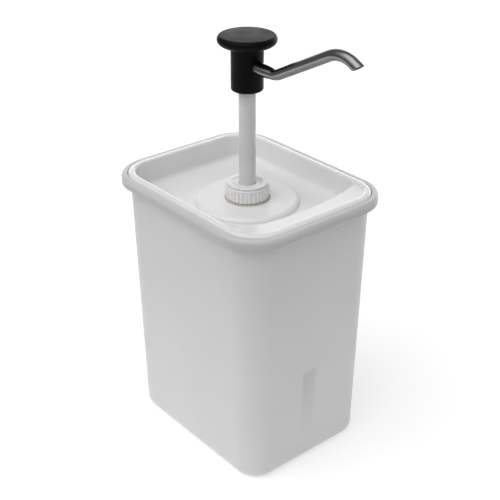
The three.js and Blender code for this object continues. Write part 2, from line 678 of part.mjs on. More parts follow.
/** The piston: two seal grooves outside, and the outlet valve's chamber and stem socket inside. */
function makePiston() {
  const groove = (z) => [
    [pistonRadius, z - SEAT_GAP],
    [sealGrooveRadius, z - SEAT_GAP],
    [sealGrooveRadius, z + PISTON_SEAL_HEIGHT + SEAT_GAP],
    [pistonRadius, z + PISTON_SEAL_HEIGHT + SEAT_GAP],
  ];
  const socketZ = pistonTopZ - PISTON_SOCKET;
  const socketRadius = STEM_RADIUS + SEAT_GAP;
  const body = turned([
    [OUTLET_SEAT_RADIUS, pistonBottomZ],
    [pistonRadius - PISTON_CHAMFER, pistonBottomZ],
    [pistonRadius, pistonBottomZ + PISTON_CHAMFER],
    ...groove(lowerSealZ),
    ...groove(upperSealZ),
    [pistonRadius, pistonTopZ],
    [socketRadius, pistonTopZ],
    [socketRadius, socketZ],
    [ballChamberRadius, socketZ],
    [ballChamberRadius, outletSeatZ],
    [OUTLET_SEAT_RADIUS, outletSeatZ],
    [OUTLET_SEAT_RADIUS, pistonBottomZ],
  ]);
  return body.subtract(crossPin(STOP_PIN_RADIUS + SEAT_GAP, 2 * (pistonRadius + OVERCUT)));
}

/** A round pin along Y, across the piston above the outlet ball. */
function crossPin(radius, length) {
  return solid(new THREE.CylinderGeometry(radius, radius, length, 16).translate(0, 0, stopPinZ));
}

/** A cup seal: its two lips face down or up, with a notch between them. */
function makePistonSeal(bottomZ, facesDown) {
  const lip = BORE_RADIUS - SEAL_GAP;
  const back = sealGrooveRadius + SEAT_GAP;
  const lipEdge = 0.5; // width and height of the bevel on each lip
  const flip = ([radius, up]) => [radius, bottomZ + (facesDown ? up : PISTON_SEAL_HEIGHT - up)];
  return turned([
    [back, 0],
    [back + lipEdge, 0],
    [(back + lip) / 2, SEAL_NOTCH_DEPTH],
    [lip - lipEdge, 0],
    [lip, lipEdge],
    [lip - lipEdge / 2, PISTON_SEAL_HEIGHT],
    [back, PISTON_SEAL_HEIGHT],
    [back, 0],
  ].map(flip));
}

// ---------------------------------------------------------------- head and spout

/** The push knob and its shank in one moulding, bored for the stem and for the spout. */
function makePumpHead() {
  const shankTopZ = headBottomZ + HEAD_HEIGHT;
  const knobTopZ = shankTopZ + KNOB_HEIGHT;
  const widestZ = knobTopZ - KNOB_TOP_HEIGHT;
  const edgeZ = headBottomZ + HEAD_EDGE_ROUND;
  const topEdgeHeight = KNOB_TOP_HEIGHT - KNOB_CROWN;
  const underside = arc(0, 0, 1, 1, 90, 0, 7).map(([across, down]) => [
    HEAD_RADIUS + (KNOB_RADIUS - HEAD_RADIUS) * across ** (2 / KNOB_FULLNESS),
    widestZ - (widestZ - shankTopZ) * down ** (2 / KNOB_FULLNESS),
  ]);
  const grooveRadius = oringGrooveRadius(STEM_RADIUS);
  const grooveHalf = ORING_SECTION + SEAL_GAP;
  const socketTopZ = headBottomZ + HEAD_SOCKET;
  const body = turned([
    [0, spoutZ],
    [STEM_BORE, spoutZ],
    [STEM_BORE, socketTopZ],
    [headSocketRadius, socketTopZ],
    [headSocketRadius, stemOringZ + grooveHalf],
    [grooveRadius, stemOringZ + grooveHalf],
    [grooveRadius, stemOringZ - grooveHalf],
    [headSocketRadius, stemOringZ - grooveHalf],
    [headSocketRadius, headBottomZ],
    ...arc(HEAD_RADIUS - HEAD_EDGE_ROUND, edgeZ, HEAD_EDGE_ROUND, HEAD_EDGE_ROUND, -90, 0, 3),
    ...underside,
    ...arc(KNOB_RADIUS - KNOB_TOP_EDGE, widestZ, KNOB_TOP_EDGE, topEdgeHeight, 0, 90, 5).slice(1),
    [0, knobTopZ],
  ]);
  const socketStart = SPOUT_START - SPOUT_END_GAP;
  const socket = alongX(disc(spoutSocketRadius, socketStart, HEAD_RADIUS + OVERCUT, SMALL_SIDES));
  const groove = alongX(disc(
    oringGrooveRadius(SPOUT_ROOT_RADIUS),
    SPOUT_ORING_X - grooveHalf,
    SPOUT_ORING_X + grooveHalf,
    SMALL_SIDES,
  ));
  return body.subtract(socket).subtract(groove);
}

/** Turns a piece made about the Z axis to lie along +X at the spout's height. */
function alongX(piece) {
  return piece.rotate([0, 90, 0]).translate([0, 0, spoutZ]);
}

/** The bent spout: a thin steel tube that is swaged wider where it enters the head. */
function makeSpoutTube() {
  const along = (x, z) => new THREE.Vector3(x, 0, z);
  const highBend = along(SPOUT_LOW_BEND + SPOUT_ARM_REACH, spoutZ + SPOUT_ARM_RISE);
  const outlet = along(highBend.x + SPOUT_TIP_REACH, highBend.z - SPOUT_TIP_DROP);
  const past = outlet.clone().sub(highBend).setLength(2 * SPOUT_RADIUS); // the cut shortens it again
  const tip = outlet.clone().add(past);
  const corners = [along(SPOUT_START, spoutZ), along(SPOUT_LOW_BEND, spoutZ), highBend, tip];
  const path = bentPath(corners, [LOW_BEND_RADIUS, HIGH_BEND_RADIUS], BEND_STEPS);
  path.splice(1, 0, along(SPOUT_ROOT_END, spoutZ));
  const swageAt = (i) => {
    const narrowed = THREE.MathUtils.clamp((path[i].x - SPOUT_ROOT_END) / SPOUT_SWAGE, 0, 1);
    return THREE.MathUtils.lerp(SPOUT_ROOT_RADIUS, SPOUT_RADIUS, narrowed);
  };
  const sideways = () => new THREE.Vector3(0, 1, 0);
  const outer = bar(path, swageAt, sideways, TUBE_SIDES);
  const longer = [along(SPOUT_START - OVERCUT, spoutZ), ...path.slice(1)];
  const inner = bar(longer, (i) => swageAt(i) - SPOUT_WALL, sideways, TUBE_SIDES);
  const cutter = new THREE.BoxGeometry(CUTTER_SIZE, CUTTER_SIZE, CUTTER_SIZE)
    .translate(0, 0, -CUTTER_SIZE / 2)
    .rotateY(THREE.MathUtils.degToRad(-OUTLET_CUT_ANGLE))
    .translate(outlet.x, 0, outlet.z);
  const tipX = outlet.x - 2 * SPOUT_RADIUS; // the cutter only works beyond here
  const beyond = box(CUTTER_SIZE, CUTTER_SIZE, 2 * CUTTER_SIZE, tipX + CUTTER_SIZE / 2, 0, outlet.z);
  return outer.subtract(inner).subtract(solid(cutter).intersect(beyond));
}

// ---------------------------------------------------------------- the assembly

const finish = (color, roughness, metalness = 0) => new THREE.MeshStandardMaterial({
  color,
  roughness,
  metalness,
});
const whitePlastic = finish(0xe9e9e7, 0.35);
const clearPlastic = finish(0xdfe3e2, 0.3);
const blackPlastic = finish(0x0c0c0d, 0.3);
const steel = finish(0xb4b6b8, 0.15, 1);
const springSteel = finish(0xa8a9aa, 0.25, 1);
const silicone = finish(0xd8cdb6, 0.6);
const blackRubber = finish(0x1a1a1a, 0.8);

const pieces = [
  ['container', makeContainer(), whitePlastic],
  ['lid', makeLid(), whitePlastic],
  ['base_gasket', makeBaseGasket(), silicone],
  ['flange_gasket', makeFlangeGasket(), silicone],
  ['collar_nut', makeCollarNut(), whitePlastic],
  ['collar_cap', makeCollarCap(), whitePlastic],
  ['stem_wiper', makeStemWiper(), silicone],
  ['pump_barrel', makePumpBarrel(), clearPlastic],
  ['foot_valve', makeFootValve(), clearPlastic],
  ['foot_valve_washer', makeFootWasher(), silicone],
  ['inlet_ball_cage', makeInletCage(), clearPlastic],
  ['inlet_ball', makeBall(INLET_BALL_RADIUS, inletBallZ), steel],
  ['dip_tube', makeDipTube(), clearPlastic],
  ['return_spring', makeReturnSpring(), springSteel],
  ['stem', makeStem(), whitePlastic],
  ['piston', makePiston(), whitePlastic],
  ['piston_seal_lower', makePistonSeal(lowerSealZ, true), blackRubber],
  ['piston_seal_upper', makePistonSeal(upperSealZ, false), blackRubber],
  ['outlet_ball', makeBall(OUTLET_BALL_RADIUS, outletBallZ), steel],
  ['outlet_stop_pin', crossPin(STOP_PIN_RADIUS, 2 * (pistonRadius - PISTON_GAP)), steel],
  ['pump_head', makePumpHead(), blackPlastic],
  ['stem_oring', oring(STEM_RADIUS + SEAL_GAP + ORING_SECTION, stemOringZ), blackRubber],
  ['spout_oring', alongX(oring(SPOUT_ROOT_RADIUS + SEAL_GAP + ORING_SECTION, SPOUT_ORING_X)), blackRubber],
  ['spout_tube', makeSpoutTube(), steel],
];

const dispenser = new THREE.Group();
for (const [name, piece, material] of pieces) {
  const { vertProperties, triVerts } = piece.getMesh();
  const geometry = new THREE.BufferGeometry();
  geometry.setAttribute('position', new THREE.Float32BufferAttribute(vertProperties, 3));
  geometry.setIndex(Array.from(triVerts));
  geometry.computeVertexNormals();
  const mesh = new THREE.Mesh(geometry, material);
  mesh.name = name;
  dispenser.add(mesh);
}

export default dispenser;
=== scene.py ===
"""The looks of a condiment pump dispenser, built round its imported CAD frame.

Blender units are metres, +Z is up and the spout points along +X. Outlines and profiles below are
in millimetres, and add_mesh() turns them into metres.
"""

import math

import bpy
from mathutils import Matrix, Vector


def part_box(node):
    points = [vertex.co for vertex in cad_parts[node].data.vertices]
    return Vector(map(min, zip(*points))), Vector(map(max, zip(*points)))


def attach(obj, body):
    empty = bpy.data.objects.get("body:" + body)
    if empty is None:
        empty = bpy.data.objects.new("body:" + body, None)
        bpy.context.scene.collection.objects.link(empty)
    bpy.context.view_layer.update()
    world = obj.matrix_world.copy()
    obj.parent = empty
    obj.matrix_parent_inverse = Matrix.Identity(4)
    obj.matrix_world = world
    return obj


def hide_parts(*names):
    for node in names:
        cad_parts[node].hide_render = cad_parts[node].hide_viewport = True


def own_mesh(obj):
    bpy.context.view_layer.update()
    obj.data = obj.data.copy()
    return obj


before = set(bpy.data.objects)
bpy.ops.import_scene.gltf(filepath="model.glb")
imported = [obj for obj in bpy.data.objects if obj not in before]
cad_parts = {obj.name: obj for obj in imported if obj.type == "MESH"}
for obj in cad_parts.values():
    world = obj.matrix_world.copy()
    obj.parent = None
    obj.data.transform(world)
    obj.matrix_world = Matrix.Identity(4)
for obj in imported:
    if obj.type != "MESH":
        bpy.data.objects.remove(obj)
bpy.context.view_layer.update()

TAU = 2 * math.pi

# The camera, which looks at a point near the pump's axis
CAMERA_AZIMUTH = 49.99
CAMERA_ELEVATION = 28.29
CAMERA_DISTANCE = 0.7854
CAMERA_TARGET = Vector((-0.0141, 0.0143, 0.1371))
CAMERA_LENS = 74.6

# The light, as radiances, and where each light lies. A light's ramp says how closely a direction has
# to point at it, as a cosine: none of it below the first number and all of it above the second. The
# backdrop is brightest low down and fades out above, between two heights given as minus their sines
PAPER_GLOW = 0.36
ROOM_LIGHT = 0.22
KEY_LIGHT = 0.7
KEY_SIDE = (-0.20, -0.70, 0.685)
KEY_RAMP = (0.76, 0.92)
OVERHEAD_LIGHT = 1.3
OVERHEAD_SIDE = (0.05, -0.38, 0.924)
OVERHEAD_RAMP = (0.74, 0.92)
FILL_LIGHT = 0.16
FILL_SIDE = (0.95, 0.1, 0.3)
FILL_RAMP = (0.2, 0.8)
BACKDROP_LIGHT = 1.9
BACKDROP_SIDE = (-0.616, 0.788, 0)
BACKDROP_RAMP = (0.62, 0.88)
BACKDROP_TOP = (-0.64, -0.2)

# The sheet of paper that the object stands on, in metres. It runs away from the camera
PAPER_FRONT = -0.5
PAPER_BACK = 3.5
PAPER_HALF_WIDTH = 0.75

# Sizes in millimetres that the frame's boxes don't give
RIM_CORNER = 30.7
RIM_OVERHANG = 6.6
RIM_DEPTH = 7.0
RIM_ROLL = 3.8
RIM_WALL = 1.8
SEAT_INSET = 4.4
SEAT_DEPTH = 2.6
TUB_WALL = 1.6
TUB_FLOOR = 2.2
TUB_DRAFT = 0.0254
BASE_CORNER = 17.6
BASE_FILLET = 8.0
BEAD_WIDTH = 5.4
BEAD_CREST = 1.5
BEAD_FALL = 1.8
LID_WALL = 1.5
LID_FLOOR = 2.0
LID_DRAFT = 0.02
RECESS_DEPTH = 17.6
RECESS_FILLET = 3.0
BOSS_RADIUS = 37.3
BOSS_HEIGHT = 3.7
BOSS_ROUND = 2.8
BOSS_RIM = 4.6
BOSS_WALL = 2.2
SHELF_WIDTH = 13.0
SHELF_DROP = 1.8
SHELF_EDGE_RADIUS = 200.0
NECK_HOLE = 13.5
RIB_COUNT = 32
RIB_DEPTH = 0.85
NUT_BAND = 1.7
BORE_RADIUS = 11.5
BARREL_RADIUS = 13.1
STEM_RADIUS = 6.0
STEM_BORE = 4.0
HEAD_RADIUS = 11.2
KNOB_TOP_HEIGHT = 3.3
KNOB_TOP_EDGE = 2.4
KNOB_CROWN = 0.3
KNOB_FULLNESS = 2.33
KNOB_HEIGHT = 8.1
SPOUT_RADIUS = 3.9
SPOUT_WALL = 0.6
SPOUT_ROOT_RADIUS = 4.5
SPRING_WIRE_RADIUS = 0.65
SPRING_RADIUS = 9.4
SPRING_COILS = 8
SPRING_END_RISE = 2.2
DIP_TUBE_WALL = 1.4
DIP_TUBE_TIP = 12
DIP_TUBE_SLANT = 35
ORING_SECTION = 0.9
STEM_LINE_DEPTH = 0.12
GASKET_SQUEEZE = 0.45
MARKS_PER_SIDE = 13
MARKS_SPREAD = 144
MARK_INNER = 8.5
MARK_OUTER = 10.1
MARK_STEP = 0.25
MARK_SINK = 0.55


# ------------------------------------------------------------------ reading the frame

def span(node):
    """A round node's outer radius, bottom and top, in millimetres."""
    low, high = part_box(node)
    return (high[1] - low[1]) * 500, low[2] * 1000, high[2] * 1000


TUB_HEIGHT = span("container")[2]
RIM_HALF_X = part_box("container")[1][0] * 1000
RIM_HALF_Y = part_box("container")[1][1] * 1000
LID_TOP = span("lid")[2]
TRAY_Z = LID_TOP - RECESS_DEPTH
BOSS_Z = TRAY_Z + BOSS_HEIGHT
SEAT_Z = TUB_HEIGHT - SEAT_DEPTH
SPOUT_Z = sum(span("spout_oring")[1:]) / 2


# ------------------------------------------------------------------ mesh building

def add_mesh(name, vertices, faces, sharp_degrees=40):
    """A smooth-shaded object from millimetre points, with creases where faces turn sharply."""
    mesh = bpy.data.meshes.new(name)
    mesh.from_pydata([tuple(c / 1000 for c in v) for v in vertices], [], faces)
    mesh.validate()
    mesh.update()
    mesh.polygons.foreach_set("use_smooth", [True] * len(mesh.polygons))
    mesh.set_sharp_from_angle(angle=math.radians(sharp_degrees))
    piece = bpy.data.objects.new(name, mesh)
    bpy.context.scene.collection.objects.link(piece)
    weighted = piece.modifiers.new("even_normals", "WEIGHTED_NORMAL")
    weighted.keep_sharp = True
    return piece


def skin(name, outlines, closed=False, sharp_degrees=40):
    """Skins a row of outlines with equal numbers of points. An open row is capped at both ends."""
    count = len(outlines[0])
    vertices = [point for outline in outlines for point in outline]
    faces = []
    rows = len(outlines)
    for i in range(rows if closed else rows - 1):
        here, there = i * count, (i + 1) % rows * count
        for j in range(count):
            k = (j + 1) % count
            faces.append((here + j, here + k, there + k, there + j))
    if not closed:
        for row, backwards in ((0, True), (rows - 1, False)):
            ring = [row * count + j for j in range(count)]
            centre = tuple(sum(vertices[i][axis] for i in ring) / count for axis in range(3))
            vertices.append(centre)
            for j in range(count):
                pair = (ring[j], ring[(j + 1) % count])
                faces.append((*(pair[::-1] if backwards else pair), len(vertices) - 1))
    return add_mesh(name, vertices, faces, sharp_degrees)


def rounded(points, closed=True, steps=4):
    """Rounds a profile's corners. A point is (across, z) or (across, z, radius of its corner)."""
    smooth = []
    last = len(points) - 1
    for i, point in enumerate(points):
        corner = Vector(point[:2])
        radius = point[2] if len(point) > 2 else 0
        if radius == 0 or (not closed and i in (0, last)):
            smooth.append(tuple(corner))
            continue
        before = Vector(points[i - 1][:2]) - corner
        after = Vector(points[(i + 1) % len(points)][:2]) - corner
        half = before.angle(after) / 2
        reach = min(radius / math.tan(half), 0.49 * before.length, 0.49 * after.length)
        radius = reach * math.tan(half)
        bisector = (before.normalized() + after.normalized()).normalized()
        centre = corner + bisector * radius / math.sin(half)
        start = corner + before.normalized() * reach - centre
        swing = start.angle_signed(corner + after.normalized() * reach - centre)
        for k in range(steps + 1):
            angle = -swing * k / steps
            arm = (
                start.x * math.cos(angle) - start.y * math.sin(angle),
                start.x * math.sin(angle) + start.y * math.cos(angle),
            )
            smooth.append((centre.x + arm[0], centre.y + arm[1]))
    return smooth


def arc(centre, radii, start, end, steps):
    """Points on an ellipse's arc, with the angles in degrees from the first axis."""
    angles = [math.radians(start + (end - start) * i / steps) for i in range(steps + 1)]
    return [(centre[0] + radii[0] * math.cos(a), centre[1] + radii[1] * math.sin(a)) for a in angles]


def turn(name, profile, closed=True, sides=96, ripple=None, shear=None, sharp_degrees=40):
    """A turned mesh from (radius, z) points that close on themselves or start and end on the axis.

    ripple(angle, radius, z) gives a point's own radius, and shear(x, z) its own height.
    """
    outlines = []
    for radius, z in profile:
        outline = []
        for j in range(sides):
            angle = TAU * j / sides
            r = ripple(angle, radius, z) if ripple else radius
            x, y = r * math.cos(angle), r * math.sin(angle)
            outline.append((x, y, shear(x, z) if shear else z))
        outlines.append(outline)
    if closed:
        return skin(name, outlines, True, sharp_degrees)
    inner = outlines[1:-1]
    piece = skin(name, inner, False, sharp_degrees)
    count = len(piece.data.vertices)
    piece.data.vertices[count - 2].co.z = profile[0][1] / 1000
    piece.data.vertices[count - 1].co.z = profile[-1][1] / 1000
    return piece


def ring_piece(name, inner, outer, bottom, top, edge=0.3, sides=96):
    """A washer, tube or other ring of square section, with rounded edges."""
    corners = [(inner, bottom), (outer, bottom), (outer, top), (inner, top)]
    return turn(name, rounded([(*c, edge) for c in corners]), sides=sides)


def sweep(name, path, radius_at, sideways_at, sides):
    """A solid round bar along a path of Vectors."""
    return skin(name, bar_outlines(path, radius_at, sideways_at, sides))


def bar_outlines(path, radius_at, sideways_at, sides):
    """Round outlines along a path. sideways_at(i) gives a direction that each one starts from."""
    outlines = []
    for i, point in enumerate(path):
        along = (path[min(i + 1, len(path) - 1)] - path[max(i - 1, 0)]).normalized()
        sideways = sideways_at(i)
        sideways = (sideways - along * sideways.dot(along)).normalized()
        third = along.cross(sideways)
        angles = [TAU * j / sides for j in range(sides)]
        outlines.append([
            tuple(point + radius_at(i) * (sideways * math.cos(a) + third * math.sin(a))) for a in angles
        ])
    return outlines


def subtract(piece, cutter):
    """Cuts one mesh with another for good, and removes the cutter."""
    cut = piece.modifiers.new("cut", "BOOLEAN")
    cut.operation = "DIFFERENCE"
    cut.solver = "EXACT"
    cut.object = cutter
    piece.modifiers.move(len(piece.modifiers) - 1, 0)
    depsgraph = bpy.context.evaluated_depsgraph_get()
    result = bpy.data.meshes.new_from_object(piece.evaluated_get(depsgraph))
    piece.modifiers.clear()
    piece.data = result
    result.set_sharp_from_angle(angle=math.radians(40))
    weighted = piece.modifiers.new("even_normals", "WEIGHTED_NORMAL")
    weighted.keep_sharp = True
    bpy.data.objects.remove(cutter)
    return piece


def lie_along(piece, axis, centre):
    """Turns a piece that was made about Z to lie along X or Y through a centre, in millimetres."""
    for vertex in piece.data.vertices:
        x, y, z = vertex.co
        vertex.co = Vector((z, y, -x) if axis == "X" else (x, z, -y)) + Vector(centre) / 1000
    return piece


# ------------------------------------------------------------------ materials

class Surface:
    """A Principled material whose colour, roughness and relief vary over the surface."""

    def __init__(self, name, roughness, metallic=0.0, specular=0.5):
        self.material = bpy.data.materials.new(name)
        self.material.use_nodes = True
        self.nodes = self.material.node_tree.nodes
        self.links = self.material.node_tree.links
        self.shader = self.nodes["Principled BSDF"]
        self.shader.inputs["Roughness"].default_value = roughness
        self.shader.inputs["Metallic"].default_value = metallic
        self.shader.inputs["Specular IOR Level"].default_value = specular
        self.base_roughness = roughness
        self.place = self.nodes.new("ShaderNodeTexCoord").outputs["Object"]
        self.height = None

    def link(self, source, target):
        self.links.new(source, target)

    def stretched(self, scale):
        mapping = self.nodes.new("ShaderNodeMapping")
        mapping.inputs["Scale"].default_value = scale
        self.link(self.place, mapping.inputs["Vector"])
        return mapping.outputs["Vector"]

    def noise(self, scale, detail=3.0, stretch=None):
        noise = self.nodes.new("ShaderNodeTexNoise")
        noise.inputs["Scale"].default_value = scale
        noise.inputs["Detail"].default_value = detail
        self.link(self.stretched(stretch) if stretch else self.place, noise.inputs["Vector"])
        return noise.outputs["Fac"]

    def blotches(self, scale, detail, low=0.3, high=0.7):
        """Soft patches that run from 0 to 1."""
        return self.remap(self.noise(scale, detail), low, high, 0, 1)

    def remap(self, value, low, high, to_low, to_high):
        remap = self.nodes.new("ShaderNodeMapRange")
        limits = {"From Min": low, "From Max": high, "To Min": to_low, "To Max": to_high}
        for socket, number in limits.items():
            remap.inputs[socket].default_value = number
        self.link(value, remap.inputs["Value"])
        return remap.outputs["Result"]

    def combine(self, first, second, operation):
        node = self.nodes.new("ShaderNodeMath")
        node.operation = operation
        self.link(first, node.inputs[0])
        self.link(second, node.inputs[1])
        return node.outputs["Value"]

    def colour(self, light, dark, amount):
        """Mixes from the light colour to the dark one by a value from 0 to 1."""
        mix = self.nodes.new("ShaderNodeMix")
        mix.data_type = "RGBA"
        mix.inputs["A"].default_value = (*light, 1)
        mix.inputs["B"].default_value = (*dark, 1)
        self.link(amount, mix.inputs["Factor"])
        self.link(mix.outputs["Result"], self.shader.inputs["Base Color"])
        return self

    def vary_roughness(self, amount, change):
        """Roughness runs from its base value to the base plus the change."""
        result = self.remap(amount, 0, 1, self.base_roughness, self.base_roughness + change)
        self.link(result, self.shader.inputs["Roughness"])
        return self

    def relief(self, height, depth_mm):
        """Adds bump of a depth in millimetres. Later reliefs lie on top of earlier ones."""
        bump = self.nodes.new("ShaderNodeBump")
        bump.inputs["Distance"].default_value = depth_mm / 1000
        self.link(height, bump.inputs["Height"])
        if self.height:
            self.link(self.height, bump.inputs["Normal"])
        self.height = bump.outputs["Normal"]
        self.link(self.height, self.shader.inputs["Normal"])
        return self

    def coat(self, weight, roughness):
        self.shader.inputs["Coat Weight"].default_value = weight
        self.shader.inputs["Coat Roughness"].default_value = roughness
        return self

    def glow_through(self, weight, radius_mm):
        """Light scatters inside the material, as in natural polyethylene."""
        self.shader.inputs["Subsurface Weight"].default_value = weight
        self.shader.inputs["Subsurface Radius"].default_value = (1.0, 0.95, 0.85)
        self.shader.inputs["Subsurface Scale"].default_value = radius_mm / 1000
        return self

    def scratches(self, density, stretch):
        """Thin lines along one direction, from 0 off a scratch to 1 on it."""
        lines = self.noise(density, 2.0, stretch)
        return self.remap(lines, 0.62, 0.70, 0, 1)


def grey(value, warmth=0.0):
    return (value * (1 + warmth), value, value * (1 - warmth))


def tub_plastic():
    """Satin moulded polyethylene. A dark band low on the +X wall is a painted shadow of the dip tube, and
    the darker skirt is painted shade; both are colour.
    """
    surface = Surface("tub_plastic", 0.30)
    mottle = surface.blotches(14, 4)
    split = surface.nodes.new("ShaderNodeSeparateXYZ")
    surface.link(surface.place, split.inputs["Vector"])
    # Painted shadow: a darker band low on the +X wall, where the dip tube's shadow would show through the
    # translucent wall
    across = surface.remap(split.outputs["Y"], -0.011, -0.008, 0, 1)
    across = surface.combine(across, surface.remap(split.outputs["Y"], 0.001, 0.006, 1, 0), "MULTIPLY")
    fading = surface.remap(split.outputs["Z"], 0.022, 0.078, 0, 1)
    fading = surface.combine(fading, surface.remap(split.outputs["Z"], 0.079, 0.082, 1, 0), "MULTIPLY")
    front = surface.remap(split.outputs["X"], 0.066, 0.068, 0, 1)
    band = surface.combine(surface.combine(across, fading, "MULTIPLY"), front, "MULTIPLY")
    mottle_and_painted_shade = surface.combine(
        surface.remap(mottle, 0, 1, 0, 0.16),
        surface.remap(band, 0, 1, 0, 0.5),
        "ADD",
    )
    # Painted shade: the rim skirt is darker than the wall below it, standing in for less light coming
    # through the thicker plastic. The random mottle and both painted shades darken the colour together
    skirt = surface.remap(split.outputs["Z"], 0.1962, 0.1972, 0, 0.8)
    painted_skirt_shade = surface.combine(skirt, surface.remap(split.outputs["Z"], 0.2000, 0.2028, 1, 0), "MULTIPLY")
    mottle_and_painted_shade = surface.combine(mottle_and_painted_shade, painted_skirt_shade, "ADD")
    surface.colour(grey(0.64, 0.002), grey(0.46, 0.0), mottle_and_painted_shade)
    surface.vary_roughness(surface.blotches(60, 5), 0.10)
    surface.relief(surface.noise(22, 2), 0.25)
    surface.relief(surface.noise(900, 3), 0.012)
    surface.relief(surface.scratches(260, (1, 1, 0.06)), 0.004)
    return surface.glow_through(0.18, 3.0).material


def lid_plastic():
    """Glossy moulded plastic with a faint orange peel."""
    surface = Surface("lid_plastic", 0.16, specular=0.4)
    surface.colour(grey(0.88), grey(0.85, 0.002), surface.blotches(30, 4))
    surface.vary_roughness(surface.blotches(80, 5, 0.35), 0.07)
    surface.relief(surface.noise(35, 2), 0.05)
    surface.relief(surface.noise(700, 3), 0.004)
    return surface.glow_through(0.35, 2.5).coat(0.12, 0.1).material


def white_moulding(name, roughness, tone=0.66):
    surface = Surface(name, roughness)
    surface.colour(grey(tone), grey(tone * 0.93, 0.002), surface.blotches(60, 4))
    surface.vary_roughness(surface.blotches(150, 4), 0.08)
    surface.relief(surface.noise(600, 3), 0.006)
    return surface.glow_through(0.12, 1.5).material


def clear_moulding(name):
    """Natural polypropylene of the pump's hidden parts, milky rather than clear."""
    surface = Surface(name, 0.22)
    surface.colour(
        (0.60, 0.62, 0.60), (0.52, 0.54, 0.52), surface.blotches(70, 4)
    )
    surface.vary_roughness(surface.blotches(150, 4), 0.1)
    surface.relief(surface.noise(500, 3), 0.008)
    return surface.glow_through(0.35, 3.0).material


def black_plastic():
    surface = Surface("black_plastic", 0.42, specular=0.11)
    surface.colour(grey(0.0012), grey(0.0025), surface.blotches(120, 5))
    surface.vary_roughness(surface.blotches(90, 6, 0.35), 0.10)
    surface.relief(surface.noise(1400, 3), 0.006)
    surface.relief(surface.scratches(500, (1, 0.05, 1)), 0.002)
    return surface.material


def rubber(name, light, dark):
    surface = Surface(name, 0.55)
    surface.colour(light, dark, surface.blotches(200, 5))
    surface.vary_roughness(surface.blotches(300, 4), 0.15)
    surface.relief(surface.noise(1500, 4), 0.02)
    return surface.material


def polished_steel(name, tone=0.26, stretch=(0.08, 1, 1)):
    """Polished stainless steel with fine drawing lines and a few faint smears."""
    surface = Surface(name, 0.19, metallic=1.0)
    lines = surface.noise(900, 3, stretch)
    surface.colour(grey(tone), grey(tone * 0.86), surface.blotches(90, 5, 0.35))
    surface.vary_roughness(surface.blotches(140, 5, 0.35, 0.75), 0.06)
    surface.relief(lines, 0.0003)
    return surface.material


# ------------------------------------------------------------------ tub and lid

def rim_outline(inset, z, corner, corner_steps=18, side_steps=6):
    """A rounded rectangle at a height, the given inset inside the rim's outside."""
    half_x, half_y = RIM_HALF_X - inset, RIM_HALF_Y - inset
    points = []
    for sign_x, sign_y, start in ((1, 1, 0), (-1, 1, 90), (-1, -1, 180), (1, -1, 270)):
        for i in range(corner_steps + 1):
            angle = math.radians(start + 90 * i / corner_steps)
            x = sign_x * (half_x - corner) + corner * math.cos(angle)
            y = sign_y * (half_y - corner) + corner * math.sin(angle)
            points.append((x, y, z))
    outline = []
    for i, point in enumerate(points):
        outline.append(point)
        if i % (corner_steps + 1) == corner_steps:
            onward = points[(i + 1) % len(points)]
            for k in range(1, side_steps):
                share = k / side_steps
                outline.append(tuple(a + (b - a) * share for a, b in zip(point, onward)))
    return outline


def wall_inset(z):
    return RIM_OVERHANG + TUB_DRAFT * (TUB_HEIGHT - RIM_DEPTH - z)


def wall_corner(z):
    share = z / (TUB_HEIGHT - RIM_DEPTH)
    return BASE_CORNER + (RIM_CORNER - RIM_OVERHANG - BASE_CORNER) * share


def wall_outlines(thickness, floor_z, fillet, top_z):
    """Outlines from the middle of a floor, round its edge and up the drafted wall."""
    outlines = []
    for out, up in arc((0, 0), (fillet, fillet), -90, 0, 12):
        z = floor_z + fillet + up
        shift = fillet - out
        outlines.append(
            rim_outline(wall_inset(z) + thickness + shift, z, wall_corner(z) - thickness - shift)
        )
    flat = outlines[0]
    for share in (0.97, 0.6, 0.25):
        outlines.insert(0, [(x * share, y * share, z) for x, y, z in flat])
    start = floor_z + fillet
    for i in range(1, 25):
        z = start + (top_z - start) * i / 24
        outlines.append(rim_outline(wall_inset(z) + thickness, z, wall_corner(z) - thickness))
    return outlines


def make_container():
    underside = SEAT_Z - RIM_WALL
    skirt = TUB_HEIGHT - RIM_DEPTH
    rim = rounded([
        (RIM_OVERHANG, underside - 2.4),
        (RIM_OVERHANG, underside, 1.0),
        (RIM_WALL, underside, 0.8),
        (RIM_WALL, skirt, 0.5),
        (0, skirt, 0.5),
        (0, TUB_HEIGHT, RIM_ROLL),
        (SEAT_INSET, TUB_HEIGHT, 0.35),
        (SEAT_INSET, SEAT_Z, 0.3),
        (RIM_OVERHANG + TUB_WALL, SEAT_Z, 0.4),
        (RIM_OVERHANG + TUB_WALL, SEAT_Z - 4),
    ], closed=False, steps=7)
    outlines = wall_outlines(0, 0, BASE_FILLET, underside - 4)
    outlines += [rim_outline(inset, z, RIM_CORNER - inset) for inset, z in rim]
    inside = wall_outlines(TUB_WALL, TUB_FLOOR, BASE_FILLET - TUB_WALL, SEAT_Z - 6)
    outlines += inside[::-1]
    piece = skin("container_shell", outlines)
    return finish_piece(piece, "tub", "container", "tub_plastic")


def box_reach(angle, half_x, half_y, corner):
    """Distance from the centre of a rounded rectangle to its edge, in one direction."""
    ux, uy = abs(math.cos(angle)), abs(math.sin(angle))
    reach = min(half_x / max(ux, 1e-9), half_y / max(uy, 1e-9))
    centre_x, centre_y = half_x - corner, half_y - corner
    if reach * ux <= centre_x or reach * uy <= centre_y:
        return reach
    along = ux * centre_x + uy * centre_y
    return along + math.sqrt(along**2 - centre_x**2 - centre_y**2 + corner**2)


def smooth_least(a, b, blend):
    """The lesser of two lengths, blended where they are nearly equal."""
    gap = max(blend - abs(a - b), 0) / blend
    return min(a, b) - gap * gap * blend / 4


